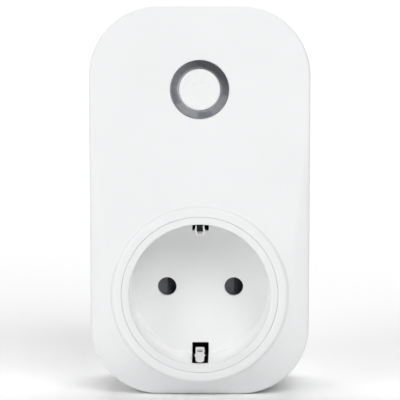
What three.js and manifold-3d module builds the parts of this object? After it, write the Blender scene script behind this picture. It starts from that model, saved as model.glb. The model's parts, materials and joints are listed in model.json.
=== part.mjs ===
// Plug in power meter: a wall plug with a socket on its front, a push button with a
// light ring above the socket, and a metering board with a switching relay inside.
//
// Millimetres. +X is right seen from the front, +Y runs into the wall, +Z is up.
// The origin is the centre of the plug nose's front face, where the nose meets the
// bottom of a wall socket. The plug and the socket share this axis.

import * as THREE from 'three';
import { mergeVertices } from 'three/addons/utils/BufferGeometryUtils.js';
import { ParametricGeometry } from 'three/addons/geometries/ParametricGeometry.js';
import Module from 'manifold-3d';

const wasm = await Module();
wasm.setup();

// ---------------------------------------------------------------- driving dimensions

// the side-earthed plug and socket system
const pinOffset = 9.5;            // each pin's distance from the axis
const pinRadius = 2.4;
const pinLength = 19;
const noseLength = 17.5;
const noseRadius = 18.5;
const noseBore = 16.3;
const noseFloor = 2.5;            // the thickness of the nose's front face
const recessDepth = 17.5;
const recessRadius = 19.5;
const holeRadius = 2.65;
const earthPinZ = 10;             // the hole for a fixed earth pin
const earthPinRadius = 2.4;
const stripInZ = 17.5;            // the plug's earth strips, from the axis
const stripOutZ = 18.3;

// the casing
const caseWidth = 60.6;
const caseHeight = 108.4;
const caseCorner = 19.3;
const caseMiddleZ = 25.15;
const wall = 2;
const rearWall = 2.2;
const wallY = -noseLength;        // the rear face, which meets the wall
const partingY = -27.5;           // where the front and rear covers meet
const faceY = -57;                // the flat front
const rimY = faceY - 1;           // the socket's rim, a little proud of the flat front
const socketFloorY = rimY + recessDepth;
const socketFloor = 2;            // the thickness of the socket's floor
const collarRadius = 24.4;
const insertRadius = 21.35;
const collarBackY = -45;          // how far back the collar's tube reaches
const skirtTopZ = 52;             // the side bevels begin here and widen downwards
const skirtDrop = 7.2;            // how far back the front's edge lies at the bottom
const sideDrop = 2.7;             // at the sides of the socket
const edgeDrop = 0.8;             // and at the top
const rearEdge = 1.4;             // rounding of the rear cover's edge

// screws
const caseScrews = [[-24, 60], [24, 60], [-21.2, -19.1], [21.2, -19.1]];
const screwRadius = 1.25;
const screwHeadRadius = 2.5;
const pillarRadius = 3.6;
const boardPosts = [[-15.5, 71], [15.5, 71]];
const boardScrewRadius = 0.9;

// the rating label on the rear
const label = { halfWidth: 15, lowZ: 41, highZ: 59, corner: 1.5, thickness: 0.35, sunk: 0.05 };

// the button and its light ring
const buttonZ = 56.5;
const buttonRadius = 5.7;
const ringInner = 5.95;
const ringOuter = 8;
const ringDish = 1.2;             // how far the ring's face falls towards the button
const buttonTravel = 0.5;

// the board
const boardFrontY = -45.6;
const boardBackY = -44;
const boardHalfWidth = 19;
const boardBottomZ = 26.5;
const boardTopZ = 75;

// the shutter behind the socket's floor
const shutterTravel = 6.4;
const shutterFrontY = -38.2;
const shutterBackY = -33;
const shutterHalfHeight = 4.7;
const shutterLeft = 12.8;         // from the axis to its left end, and to its right end
const shutterRight = 19.6;
const windowRadius = 2.9;
const springY = -35.6;
const springStopX = 22.8;         // the carrier's wall that the spring pushes on

// the live contacts behind the shutter
const contactInner = 2.7;
const contactOuter = 3.5;
const contactBackY = -23.7;
const carrierBackY = -24;

// the sprung earth clips in the socket's wall
const clipWidth = 2.5;
const clipThickness = 0.5;
const clipTravel = 2.5;           // how far a plug's earth strip pushes a clip outwards
const clipCrestY = -50.2;         // the clips' crests, near the front of the recess
const clipCrestZ = 16.1;          // and how far inside it they reach, from the axis
const clipTipY = -54.8;
const clipTipZ = 19.3;
const clipFootY = -37.4;
const clipFootZ = 19.2;
const clipWindow = [-52.15, -51.45];
const slotHalfWidth = 2.35;
const slotFrontY = rimY + 2.4;
const bridgeZ = 20.4;             // the strap behind the clips, from the axis

const gap = 0.3;                  // clearance between pieces that touch
const over = 1;                   // how far a cutter runs past what it cuts
const round = 40;                 // sides of a large circle
const small = 20;                 // sides of a small circle
const tiny = 12;                  // sides of a screw's shaft

// places worked out from the sizes above
const bottomZ = caseMiddleZ - caseHeight / 2;
const boreRadius = insertRadius + gap;
const innerFrontY = faceY + wall;
const innerRearY = wallY - rearWall;
const ringLipY = faceY + 0.1;
const ringBackY = innerFrontY + 1.7;
const switchFrontY = boardFrontY - gap - 3.5;
const plungerFrontY = switchFrontY - buttonTravel - 0.4;
const trackBackY = shutterBackY + gap;

// ---------------------------------------------------------------- solids from geometry

// a closed three.js geometry as a solid that can be cut and joined
function solid(geometry) {
  const bare = geometry.index ? geometry.clone() : mergeVertices(geometry);
  bare.deleteAttribute('normal');
  bare.deleteAttribute('uv');
  const merged = mergeVertices(bare, 1e-4);
  const index = merged.index.array;
  const triangles = [];
  for (let i = 0; i < index.length; i += 3) {
    const [a, b, c] = [index[i], index[i + 1], index[i + 2]];
    if (a !== b && b !== c && c !== a) triangles.push(a, b, c);
  }
  const build = (order) => new wasm.Manifold(new wasm.Mesh({
    numProp: 3,
    vertProperties: Float32Array.from(merged.attributes.position.array),
    triVerts: Uint32Array.from(order),
  }));
  const made = build(triangles);
  return made.volume() > 0 ? made : build(triangles.reverse());
}

// the solid's surface as a geometry for a mesh
function surface(body) {
  const mesh = body.getMesh();
  const geometry = new THREE.BufferGeometry();
  const places = Float32Array.from(mesh.vertProperties);
  geometry.setAttribute('position', new THREE.BufferAttribute(places, 3));
  geometry.setIndex(new THREE.BufferAttribute(Uint32Array.from(mesh.triVerts), 1));
  geometry.computeVertexNormals();
  return geometry;
}

// a box between two corners
function box(x0, x1, y0, y1, z0, z1) {
  const geometry = new THREE.BoxGeometry(x1 - x0, y1 - y0, z1 - z0);
  geometry.translate((x0 + x1) / 2, (y0 + y1) / 2, (z0 + z1) / 2);
  return solid(geometry);
}

// a box about x = 0 whose z runs between two distances above the axis, or below it
function sideBox(side, halfWidth, y0, y1, nearZ, farZ) {
  const z0 = side > 0 ? nearZ : -farZ;
  return box(-halfWidth, halfWidth, y0, y1, z0, z0 + farZ - nearZ);
}

// a box about (x, z)
function blockAt(x, z, halfWidth, halfHeight, y0, y1) {
  return box(x - halfWidth, x + halfWidth, y0, y1, z - halfHeight, z + halfHeight);
}

// a rod along Y from y0 to y1, centred on (x, z)
function rodY(radius, y0, y1, x = 0, z = 0, sides = small) {
  const geometry = new THREE.CylinderGeometry(radius, radius, y1 - y0, sides);
  geometry.translate(x, (y0 + y1) / 2, z);
  return solid(geometry);
}

// a rod along X from x0 to x1
function rodX(radius, x0, x1, y, z, sides = small) {
  const geometry = new THREE.CylinderGeometry(radius, radius, x1 - x0, sides);
  geometry.rotateZ(Math.PI / 2);
  geometry.translate((x0 + x1) / 2, y, z);
  return solid(geometry);
}

// a rod along Z from z0 to z1
function rodZ(radius, z0, z1, x, y, sides = small) {
  const geometry = new THREE.CylinderGeometry(radius, radius, z1 - z0, sides);
  geometry.rotateX(Math.PI / 2);
  geometry.translate(x, y, (z0 + z1) / 2);
  return solid(geometry);
}

// a shape turned about a line along Y through (x, z); the profile is [radius, y] pairs
function turned(profile, x = 0, z = 0, sides = round) {
  const points = profile.map(([r, y]) => new THREE.Vector2(r, y));
  const geometry = new THREE.LatheGeometry(points, sides);
  geometry.translate(x, 0, z);
  return solid(geometry);
}

// a ring about the axis, with a square section
function ringY(inner, outer, y0, y1, x = 0, z = 0, sides = round) {
  return turned([[inner, y0], [outer, y0], [outer, y1], [inner, y1], [inner, y0]], x, z, sides);
}

// a flat shape in the XZ plane, from y0 to y1
function plateY(shape, y0, y1, curveSegments = 6) {
  const depth = y1 - y0;
  const geometry = new THREE.ExtrudeGeometry(shape, { depth, bevelEnabled: false, curveSegments });
  geometry.rotateX(Math.PI / 2);
  geometry.translate(0, y1, 0);
  return solid(geometry);
}

// a shape in the YZ plane, from x0 to x1
function plateX(shape, x0, x1) {
  const geometry = new THREE.ExtrudeGeometry(shape, { depth: x1 - x0, bevelEnabled: false });
  geometry.rotateX(Math.PI / 2);
  geometry.rotateZ(Math.PI / 2);
  geometry.translate(x0, 0, 0);
  return solid(geometry);
}

// a shape in the XY plane, from z0 to z1
function plateZ(shape, z0, z1) {
  const geometry = new THREE.ExtrudeGeometry(shape, { depth: z1 - z0, bevelEnabled: false });
  geometry.translate(0, 0, z0);
  return solid(geometry);
}

// a shape from [a, b] corners
function polygon(points) {
  return new THREE.Shape(points.map(([a, b]) => new THREE.Vector2(a, b)));
}

// a strip of sheet metal seen from its edge: a path of [a, b] corners, thickened
function bentStrip(path, thickness) {
  const half = thickness / 2;
  const left = [];
  const right = [];
  path.forEach((point, i) => {
    const before = path[Math.max(i - 1, 0)];
    const after = path[Math.min(i + 1, path.length - 1)];
    const inDir = i > 0 ? direction(before, point) : direction(point, after);
    const outDir = i < path.length - 1 ? direction(point, after) : inDir;
    const normal = [-(inDir[1] + outDir[1]) / 2, (inDir[0] + outDir[0]) / 2];
    const lengthSquared = normal[0] ** 2 + normal[1] ** 2;
    const reach = half / lengthSquared;
    left.push([point[0] + normal[0] * reach, point[1] + normal[1] * reach]);
    right.unshift([point[0] - normal[0] * reach, point[1] - normal[1] * reach]);
  });
  return polygon([...left, ...right]);
}

// the unit step from one [a, b] place towards another
function direction(from, to) {
  const length = Math.hypot(to[0] - from[0], to[1] - from[1]);
  return [(to[0] - from[0]) / length, (to[1] - from[1]) / length];
}

// a rectangle with round corners
function roundedRectangle(x0, x1, z0, z1, radius) {
  const shape = new THREE.Shape();
  shape.moveTo(x0 + radius, z0);
  shape.lineTo(x1 - radius, z0);
  shape.absarc(x1 - radius, z0 + radius, radius, -Math.PI / 2, 0, false);
  shape.lineTo(x1, z1 - radius);
  shape.absarc(x1 - radius, z1 - radius, radius, 0, Math.PI / 2, false);
  shape.lineTo(x0 + radius, z1);
  shape.absarc(x0 + radius, z1 - radius, radius, Math.PI / 2, Math.PI, false);
  shape.lineTo(x0, z0 + radius);
  shape.absarc(x0 + radius, z0 + radius, radius, Math.PI, Math.PI * 1.5, false);
  return shape;
}

// ---------------------------------------------------------------- the casing's outline

const cornerX = caseWidth / 2 - caseCorner;
const cornerZ = caseHeight / 2 - caseCorner;

// stations round the outline: equal steps along each corner, a few on each straight edge
const stations = [];
{
  const cornerSteps = 12;
  const sideSteps = 4;
  const corners = [[1, 1], [-1, 1], [-1, -1], [1, -1]];
  corners.forEach(([sx, sz], quarter) => {
    for (let i = 0; i <= cornerSteps; i += 1) {
      const angle = (quarter + i / cornerSteps) * Math.PI / 2;
      stations.push({ cx: sx * cornerX, cz: sz * cornerZ, angle });
    }
    const [nx, nz] = corners[(quarter + 1) % 4];
    const end = (quarter + 1) * Math.PI / 2;
    const steps = quarter % 2 === 0 ? sideSteps / 2 : sideSteps + 2;
    for (let i = 1; i < steps; i += 1) {
      const t = i / steps;
      stations.push({
        cx: (sx + (nx - sx) * t) * cornerX,
        cz: (sz + (nz - sz) * t) * cornerZ,
        angle: end,
      });
    }
  });
}

// a place on the casing's outline, moved inwards by an inset
function outlinePoint(station, inset) {
  const radius = caseCorner - inset;
  return {
    x: station.cx + radius * Math.cos(station.angle),
    z: station.cz + caseMiddleZ + radius * Math.sin(station.angle),
  };
}

// how far the bevel has developed: 0 above skirtTopZ, 1 at the socket's axis and below
function bevelShare(z) {
  return THREE.MathUtils.smoothstep(skirtTopZ - z, 0, skirtTopZ);
}

// how far back the front's edge lies at this height
function dropAt(z) {
  const side = THREE.MathUtils.lerp(edgeDrop, sideDrop, bevelShare(z));
  const down = z < 0 ? z / bottomZ : 0;
  return side + (skirtDrop - side) * down ** 1.5;
}

// where the flat front ends: near the outline at the top, on the collar at the bottom
function flatEdge(station) {
  const rim = outlinePoint(station, edgeDrop);
  if (rim.z >= skirtTopZ) return rim;
  const edge = outlinePoint(station, 0);
  const collar = collarRadius + gap;
  if (edge.z <= 0) {
    const reach = Math.hypot(edge.x, edge.z);
    return { x: edge.x / reach * collar, z: edge.z / reach * collar };
  }
  const reach = THREE.MathUtils.lerp(Math.abs(rim.x), collar, bevelShare(edge.z));
  return { x: Math.sign(edge.x) * reach, z: edge.z };
}

// a closed body with the casing's outline: its flat front, bevel, side wall and flat back
function caseBody(frontY, backY, inset) {
  const middle = { x: 0, z: caseMiddleZ };
  const bevelSteps = 2;
  const rows = bevelSteps + 4;
  const place = (u, v, target) => {
    const station = stations[Math.round(u * stations.length) % stations.length];
    const row = Math.round(v * rows);
    const edge = outlinePoint(station, inset);
    const flat = flatEdge(station);
    if (row === 0) target.set(middle.x, frontY, middle.z);
    else if (row <= bevelSteps + 1) {
      const t = (row - 1) / bevelSteps;
      const shrink = 1 - inset / caseCorner;
      const inner = inset > 0
        ? { x: flat.x * shrink, z: middle.z + (flat.z - middle.z) * shrink }
        : flat;
      const drop = dropAt(outlinePoint(station, 0).z);
      target.set(
        inner.x + (edge.x - inner.x) * t,
        frontY + drop * t ** 1.3,
        inner.z + (edge.z - inner.z) * t,
      );
    } else if (row < rows) target.set(edge.x, backY, edge.z);
    else target.set(middle.x, backY, middle.z);
  };
  return solid(new ParametricGeometry(place, stations.length, rows));
}

// a closed body with the casing's outline and flat ends; each row is [inset, y]
function outlineSlab(rows) {
  const place = (u, v, target) => {
    const station = stations[Math.round(u * stations.length) % stations.length];
    const step = Math.round(v * (rows.length + 1)) - 1;
    const [inset, y] = rows[Math.min(Math.max(step, 0), rows.length - 1)];
    const edge = outlinePoint(station, inset);
    if (step < 0 || step === rows.length) target.set(0, y, caseMiddleZ);
    else target.set(edge.x, y, edge.z);
  };
  return solid(new ParametricGeometry(place, stations.length, rows.length + 1));
}

// the casing's outline as a plain plate
function outlinePlate(inset, y0, y1) {
  return outlineSlab([[inset, y0], [inset, y1]]);
}

// ---------------------------------------------------------------- the casing's pieces

function frontCover() {
  let body = caseBody(faceY, partingY, 0);
  body = body.subtract(caseBody(innerFrontY, partingY + over, wall));
  // the collar round the socket, as a tube that reaches back to the insert's flange
  const lipEdge = 0.4;
  const collarSides = 64;
  body = body.add(turned([
    [boreRadius, rimY + lipEdge],
    [boreRadius + lipEdge, rimY],
    [collarRadius - 1, rimY],
    [collarRadius - 0.3, rimY + 0.3],
    [collarRadius, rimY + 1],
    [collarRadius, collarBackY],
    [boreRadius - 0.01, collarBackY],
    [boreRadius, rimY + lipEdge],
  ], 0, 0, collarSides));
  body = body.subtract(rodY(boreRadius, rimY - over, collarBackY + over, 0, 0, collarSides));
  // pockets in the tube that the earth clips' tips move into
  const pocketZ = clipTipZ + clipTravel + clipThickness + gap;
  for (const side of [-1, 1]) {
    const backY = collarBackY + over;
    body = body.subtract(sideBox(side, slotHalfWidth, slotFrontY, backY, insertRadius - over, pocketZ));
  }
  // bosses for the case screws; the lower two start behind the skirt
  const bossRadius = 3.2;
  const skirtBackY = -51;
  const screwTipY = -38;
  const inside = caseBody(faceY + wall / 2, partingY + over, wall / 2);
  for (const [x, z] of caseScrews) {
    const frontEnd = z < 0 ? skirtBackY : innerFrontY - 0.5;
    const boss = rodY(bossRadius, frontEnd, partingY - gap, x, z).intersect(inside);
    body = body.add(boss);
    body = body.subtract(rodY(screwRadius + gap, screwTipY, partingY + over, x, z, tiny));
  }
  // posts that the board is screwed to
  const postRadius = 2.1;
  for (const [x, z] of boardPosts) {
    body = body.add(rodY(postRadius, innerFrontY - 0.5, boardFrontY - gap, x, z));
    body = body.subtract(rodY(boardScrewRadius + gap, -51, boardFrontY + over, x, z, tiny));
  }
  // the light ring's well
  const wellRadius = ringOuter + 0.15;
  return body.subtract(rodY(wellRadius, faceY - over, innerFrontY + over, 0, buttonZ, round));
}

function rearCover() {
  let body = outlineSlab([
    [gap, partingY + gap],
    [0, partingY + 2 * gap],
    [0, wallY - rearEdge],
    [0.3 * rearEdge, wallY - 0.3 * rearEdge],
    [rearEdge, wallY],
  ]);
  body = body.subtract(outlinePlate(wall, partingY - over, innerRearY));
  // a lip that locates the front cover, cut away round the front cover's bosses
  const lipHeight = 2;
  const lipThickness = 1;
  const lipInset = wall + gap;
  let lip = outlinePlate(lipInset, partingY - lipHeight, innerRearY + 0.5);
  lip = lip.subtract(outlinePlate(lipInset + lipThickness, partingY - lipHeight - over, innerRearY + over));
  for (const [x, z] of caseScrews) {
    lip = lip.subtract(rodY(pillarRadius, partingY - lipHeight - over, partingY + gap, x, z));
  }
  body = body.add(lip);
  // the hole that the plug's nose comes through
  body = body.subtract(rodY(noseRadius + gap, innerRearY - over, wallY + over, 0, 0, 56));
  // pillars for the case screws, with sunk heads
  const sinkY = wallY - 2.4;
  for (const [x, z] of caseScrews) {
    body = body.add(rodY(pillarRadius, partingY + gap, wallY - 0.5, x, z));
    body = body.subtract(rodY(screwRadius + gap, partingY - over, wallY + over, x, z, tiny));
    body = body.subtract(rodY(screwHeadRadius + gap, sinkY, wallY + over, x, z));
  }
  // a shallow pocket for the rating label
  const pocketDepth = label.thickness + label.sunk + gap;
  return body.subtract(box(
    -label.halfWidth - gap, label.halfWidth + gap,
    wallY - pocketDepth, wallY + over,
    label.lowZ - gap, label.highZ + gap,
  ));
}

function ratingLabel() {
  const backY = wallY - label.sunk;
  const shape = roundedRectangle(-label.halfWidth, label.halfWidth, label.lowZ, label.highZ, label.corner);
  return plateY(shape, backY - label.thickness, backY, 3);
}

// the plug's nose: a cup, hollow from behind, with a flange inside the rear cover
function plugNose() {
  const flangeRadius = noseRadius + 1.8;
  const flangeBackY = innerRearY - gap;
  const flangeFrontY = flangeBackY - 1.2;
  let body = turned([
    [0, -noseFloor],
    [noseBore, -noseFloor],
    [noseBore, flangeFrontY],
    [flangeRadius, flangeFrontY],
    [flangeRadius, flangeBackY],
    [noseRadius, flangeBackY],
    [noseRadius, -1],
    [noseRadius - 0.3, -0.3],
    [noseRadius - 1, 0],
    [0, 0],
  ], 0, 0, 56);
  // holes for the pins and for a fixed earth pin
  for (const side of [-1, 1]) {
    body = body.subtract(rodY(pinRadius + gap, -noseFloor - over, over, side * pinOffset, 0));
  }
  body = body.subtract(rodY(earthPinRadius + 0.2, -noseFloor - over, over, 0, earthPinZ));
  // a groove along the top and the bottom for the earth strips
  for (const side of [-1, 1]) {
    const groove = sideBox(side, 3, flangeBackY - 2, over, stripInZ - gap, noseRadius + 3.5);
    body = body.subtract(groove);
  }
  return body;
}

function socketInsert() {
  const backY = socketFloorY + socketFloor;
  const edge = 0.3;
  const flangeFrontY = collarBackY + gap;
  const flangeBackY = flangeFrontY + 2.2;
  let body = turned([
    [0, socketFloorY],
    [recessRadius - 0.25, socketFloorY],
    [recessRadius, rimY + edge],
    [recessRadius + edge, rimY],
    [insertRadius - edge, rimY],
    [insertRadius, rimY + edge],
    [insertRadius, flangeFrontY],
    [collarRadius, flangeFrontY],
    [collarRadius, flangeBackY],
    [insertRadius, flangeBackY],
    [insertRadius, backY],
    [0, backY],
  ], 0, 0, 64);
  const slotInZ = 16;
  const slotOutZ = 26;
  for (const side of [-1, 1]) {
    const hole = rodY(holeRadius, socketFloorY - over, backY + over, side * pinOffset, 0);
    // the slot that an earth clip stands in, from the floor up through the wall
    const slot = sideBox(side, slotHalfWidth, slotFrontY, backY + over, slotInZ, slotOutZ);
    body = body.subtract(hole).subtract(slot);
  }
  return body;
}

// a dished ring round the button, held by a flange behind the flat front
function lightRing() {
  const flangeRadius = ringOuter + 1.4;
  const flangeFrontY = innerFrontY + gap;
  const lowY = ringLipY + ringDish;
  return turned([
    [ringInner, lowY],
    [ringInner + 0.5, lowY],
    [ringOuter - 0.5, ringLipY + 0.4],
    [ringOuter - 0.2, ringLipY],
    [ringOuter, ringLipY],
    [ringOuter, flangeFrontY],
    [flangeRadius, flangeFrontY],
    [flangeRadius, ringBackY],
    [ringInner, ringBackY],
    [ringInner, lowY],
  ], 0, buttonZ);
}

// the button: a shallow dome, a flange that stops it behind the ring, and a stem
function powerButton() {
  const frontY = faceY - 0.3;
  const flangeFrontY = ringBackY + 0.4;
  const flangeBackY = flangeFrontY + 1.2;
  const flangeRadius = buttonRadius + 1.4;
  const stemRadius = 1.6;
  const stemBackY = plungerFrontY - gap;
  return turned([
    [0, frontY],
    [0.6 * buttonRadius, frontY + 0.1],
    [buttonRadius - 0.5, frontY + 0.3],
    [buttonRadius, frontY + 0.8],
    [buttonRadius, flangeFrontY],
    [flangeRadius, flangeFrontY],
    [flangeRadius, flangeBackY],
    [stemRadius, flangeBackY],
    [stemRadius, stemBackY],
    [0, stemBackY],
  ], 0, buttonZ);
}

// a screw with a cross recess, put in from the rear
function caseScrew(x, z) {
  const headBackY = wallY - 0.4;
  const headFrontY = headBackY - 1.7;
  const tipY = -36.5;
  const crossLength = 1.4;
  const crossWidth = 0.3;
  const crossY = headBackY - 1;
  return rodY(screwHeadRadius, headFrontY, headBackY, x, z)
    .add(rodY(screwRadius, tipY, headFrontY + 0.1, x, z, tiny))
    .subtract(blockAt(x, z, crossLength, crossWidth, crossY, headBackY + over))
    .subtract(blockAt(x, z, crossWidth, crossLength, crossY, headBackY + over));
}

// a screw with a single slot, put in from the board's rear
function boardScrew(x, z) {
  const headRadius = 1.8;
  const headFrontY = boardBackY + gap;
  const headBackY = headFrontY + 1.3;
  const tipY = -50;
  return rodY(headRadius, headFrontY, headBackY, x, z, 16)
    .add(rodY(boardScrewRadius, tipY, headFrontY + 0.1, x, z, tiny))
    .subtract(blockAt(x, z, headRadius + 0.2, 0.25, headBackY - 0.6, headBackY + over));
}

// ---------------------------------------------------------------- the plug's metal parts

// where the retainer lies behind the nose's front face
const retainerFrontY = -8.1;
const retainerBackY = -5.1;

// a pin with a collar that the retainer clamps, a waist and a rounded tip
function plugPin(side) {
  const collarBack = -noseFloor - gap;
  const collarFront = retainerBackY + gap;
  const waistRadius = pinRadius - 0.4;
  const waistBackY = retainerFrontY - gap;
  const footY = -13.2;
  return turned([
    [0, footY],
    [waistRadius, footY],
    [waistRadius, waistBackY],
    [pinRadius, waistBackY + 0.2],
    [pinRadius, collarFront],
    [pinRadius + 1.2, collarFront],
    [pinRadius + 1.2, collarBack],
    [pinRadius, collarBack],
    [pinRadius, pinLength - 1.6],
    [0.8 * pinRadius, pinLength - 0.5],
    [0.4 * pinRadius, pinLength],
    [0, pinLength],
  ], side * pinOffset, 0, 24);
}

// the disc in the nose that holds both pins
function pinRetainer() {
  let body = rodY(noseBore - 0.7, retainerFrontY, retainerBackY, 0, 0, round);
  const hole = (radius, x, z) => rodY(radius, retainerFrontY - over, retainerBackY + over, x, z);
  for (const side of [-1, 1]) {
    body = body.subtract(hole(pinRadius + gap, side * pinOffset, 0));
  }
  return body.subtract(hole(earthPinRadius + 0.8 + gap, 0, earthPinZ));
}

// the strip along the nose that a socket's side earth clip touches
function plugEarthStrip(side) {
  const rootY = -22.2;
  const tipY = -1.2;
  return sideBox(side, 2.7, rootY, tipY, stripInZ, stripOutZ);
}

// the sleeve that takes a fixed earth pin
function plugEarthSleeve() {
  const inner = earthPinRadius + 0.2;
  return ringY(inner, inner + 0.6, -15, -noseFloor - gap, 0, earthPinZ, small);
}

// ---------------------------------------------------------------- behind the socket's floor

// the block that holds the live contacts, with the shutter's track in its front
function contactCarrier() {
  const halfHeight = 7;
  const trackHalf = shutterHalfHeight + gap;
  const stopThickness = 0.8;
  const trackFloor = 2.4;
  const ledge = 0.8;                // what the contacts' front ends stand on
  let body = box(
    -springStopX - stopThickness, shutterRight + 1.4,
    shutterFrontY, trackBackY + trackFloor,
    -halfHeight, halfHeight,
  );
  body = body.subtract(box(
    -springStopX, shutterRight + 2 * gap,
    shutterFrontY - over, trackBackY,
    -trackHalf, trackHalf,
  ));
  for (const side of [-1, 1]) {
    const x = side * pinOffset;
    body = body.add(blockAt(x, 0, contactOuter + 1.4, contactOuter + 1.7, trackBackY, carrierBackY));
    body = body.subtract(rodY(holeRadius + 0.15, trackBackY - over, -30, x, 0));
    body = body.subtract(rodY(contactOuter + 0.4, trackBackY + ledge, carrierBackY + over, x, 0));
  }
  return body;
}

// a sprung tube, slit along its length, that grips a pin
function socketContact(side) {
  const x = side * pinOffset;
  const frontY = trackBackY + 1.1;
  const slitBackY = -27;
  const tube = ringY(contactInner, contactOuter, frontY, contactBackY, x, 0, small);
  return tube.subtract(blockAt(x, 0, 0.4, contactOuter + over, frontY - over, slitBackY));
}

// the shutter: under each hole a lead-in slope and then a steep ramp, which a pin pushes
// to the left until the window beside it stands under the hole
function shutter() {
  const leadDepth = 0.8;
  const floor = 0.3;                // what is left under the ramp
  const rampFootY = shutterBackY - floor;
  let body = box(
    -shutterLeft, shutterRight, shutterFrontY, shutterBackY, -shutterHalfHeight, shutterHalfHeight,
  );
  for (const side of [-1, 1]) {
    const holeX = side * pinOffset;
    const windowX = holeX + shutterTravel;
    const window = rodY(windowRadius, shutterFrontY - over, shutterBackY + over, windowX, 0);
    const ramp = polygon([
      [holeX - windowRadius, shutterFrontY - over],
      [windowX, shutterFrontY - over],
      [windowX, rampFootY],
      [windowX - windowRadius + floor, rampFootY],
      [holeX, shutterFrontY + leadDepth],
      [holeX - windowRadius, shutterFrontY],
    ]);
    body = body.subtract(window).subtract(plateZ(ramp, -windowRadius, windowRadius));
  }
  // a spigot that the spring sits on
  return body.add(rodX(0.9, -shutterLeft - 1.4, -shutterLeft + 0.1, springY, 0, tiny));
}

// a helical spring between the shutter's end and the carrier's wall
function shutterSpring() {
  const turns = 5;
  const coilRadius = 1.8;
  const wireRadius = 0.25;
  const from = -shutterLeft - 0.5;
  const to = -springStopX + 0.5;
  class Helix extends THREE.Curve {
    getPoint(t, target = new THREE.Vector3()) {
      const angle = t * turns * Math.PI * 2;
      const y = springY + coilRadius * Math.cos(angle);
      const z = coilRadius * Math.sin(angle);
      return target.set(THREE.MathUtils.lerp(from, to, t), y, z);
    }
  }
  const sides = 6;
  const wire = polygon(Array.from({ length: sides }, (_, i) => {
    const angle = i / sides * Math.PI * 2;
    return [wireRadius * Math.cos(angle), wireRadius * Math.sin(angle)];
  }));
  const stepsPerTurn = 12;
  return solid(new THREE.ExtrudeGeometry(wire, {
    steps: turns * stepsPerTurn, extrudePath: new Helix(), bevelEnabled: false,
  }));
}

// a bowed spring strip in the socket's wall that touches a plug's side earth strip;
// its path runs from the foot, over the crest inside the recess, to the tip in the slot
function earthClip(side) {
  const path = [
    [clipFootY, clipFootZ],
    [clipFootY - 4.6, clipFootZ - 0.7],
    [clipCrestY + 4.2, clipCrestZ + 1.2],
    [clipCrestY + 1.4, clipCrestZ + 0.25],
    [clipCrestY, clipCrestZ],
    [clipCrestY - 1.1, clipCrestZ + 0.25],
    [clipCrestY - 2.3, clipCrestZ + 1.1],
    [clipTipY, clipTipZ],
  ];
  const edge = bentStrip(path.map(([y, z]) => [y, side * z]), clipThickness);
  const strip = plateX(edge, -clipWidth / 2, clipWidth / 2);
  return strip.subtract(sideBox(side, 0.3 * clipWidth, ...clipWindow, clipCrestZ - over, clipTipZ + over));
}

// the strap that joins both earth clips and both of the plug's earth strips
function earthBridge() {
  const footY = -36.6;
  const backY = -23;
  const path = [
    [footY, -bridgeZ],
    [backY, -bridgeZ],
    [backY, bridgeZ],
    [footY, bridgeZ],
  ];
  return plateX(bentStrip(path, 0.8), -2.8, 2.8);
}

// ---------------------------------------------------------------- conductors

const strapThickness = 0.8;
const strapHalfWidth = 2.6;
const pinFootY = -13.9;           // where a strap meets a plug pin
const contactEyeY = -22.8;        // where a strap meets a socket contact
const strapX = 14.9;              // where the straps pass behind the nose's edge
const solderY = boardBackY + gap; // where the straps meet the board

// the ring at the end of a strap that goes round a socket contact
function strapEye(x) {
  return rodY(4.4, contactEyeY - strapThickness / 2, contactEyeY + strapThickness / 2, x, 0);
}

function eyeHole(x) {
  return rodY(3, contactEyeY - 1.2, contactEyeY + 1.3, x, 0);
}

// from the neutral pin straight to the neutral contact
function neutralStrap() {
  const path = [
    [7, pinFootY],
    [strapX, pinFootY],
    [strapX, contactEyeY],
    [6, contactEyeY],
  ];
  const strip = plateZ(bentStrip(path, strapThickness), -strapHalfWidth, strapHalfWidth);
  return strip.add(strapEye(pinOffset)).subtract(eyeHole(pinOffset));
}

// from the line pin up to the board
function lineStrapIn() {
  const riserY = -22.2;
  const riserTopZ = 32.6;
  const outerX = 17.5;
  const path = [
    [-7, pinFootY],
    [-strapX, pinFootY],
    [-strapX, riserY],
    [-outerX, riserY],
  ];
  const strip = plateZ(bentStrip(path, strapThickness), -strapHalfWidth, strapHalfWidth);
  const rise = [[riserY, -strapHalfWidth], [riserY, riserTopZ], [solderY, riserTopZ]];
  return strip.add(plateX(bentStrip(rise, strapThickness), -outerX, -outerX + 3));
}

// from the board down to the line contact
function lineStrapOut() {
  const topZ = 29;
  const rise = [[contactEyeY, 0], [contactEyeY, topZ], [solderY, topZ]];
  const riser = plateX(bentStrip(rise, strapThickness), -pinOffset - 2, -pinOffset + 2);
  return riser.add(strapEye(-pinOffset)).subtract(eyeHole(-pinOffset));
}

// ---------------------------------------------------------------- the board and what is on it

const backSide = boardBackY + gap;      // where parts on the board's rear begin
const frontSide = boardFrontY - gap;    // and where those on its front end

function circuitBoard() {
  const corner = 3;
  let body = plateY(
    roundedRectangle(-boardHalfWidth, boardHalfWidth, boardBottomZ, boardTopZ, corner),
    boardFrontY,
    boardBackY,
  );
  for (const [x, z] of boardPosts) {
    body = body.subtract(rodY(boardScrewRadius + gap, boardFrontY - over, boardBackY + over, x, z, tiny));
  }
  return body;
}

// the push switch behind the button, with a well that its plunger slides in
function buttonSwitch() {
  const wellBackY = -46.7;
  const body = blockAt(0, buttonZ, 3, 3, switchFrontY, frontSide);
  return body.subtract(rodY(2, switchFrontY - over, wellBackY, 0, buttonZ));
}

function switchPlunger() {
  return rodY(1.7, plungerFrontY, -47.6, 0, buttonZ);
}

// a light under the ring: a base with a smaller lens on it
function led(x, z) {
  const lensY = frontSide - 0.6;
  return blockAt(x, z, 1.2, 0.8, lensY, frontSide).add(blockAt(x, z, 0.8, 0.6, lensY - 0.5, lensY + 0.1));
}

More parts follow.
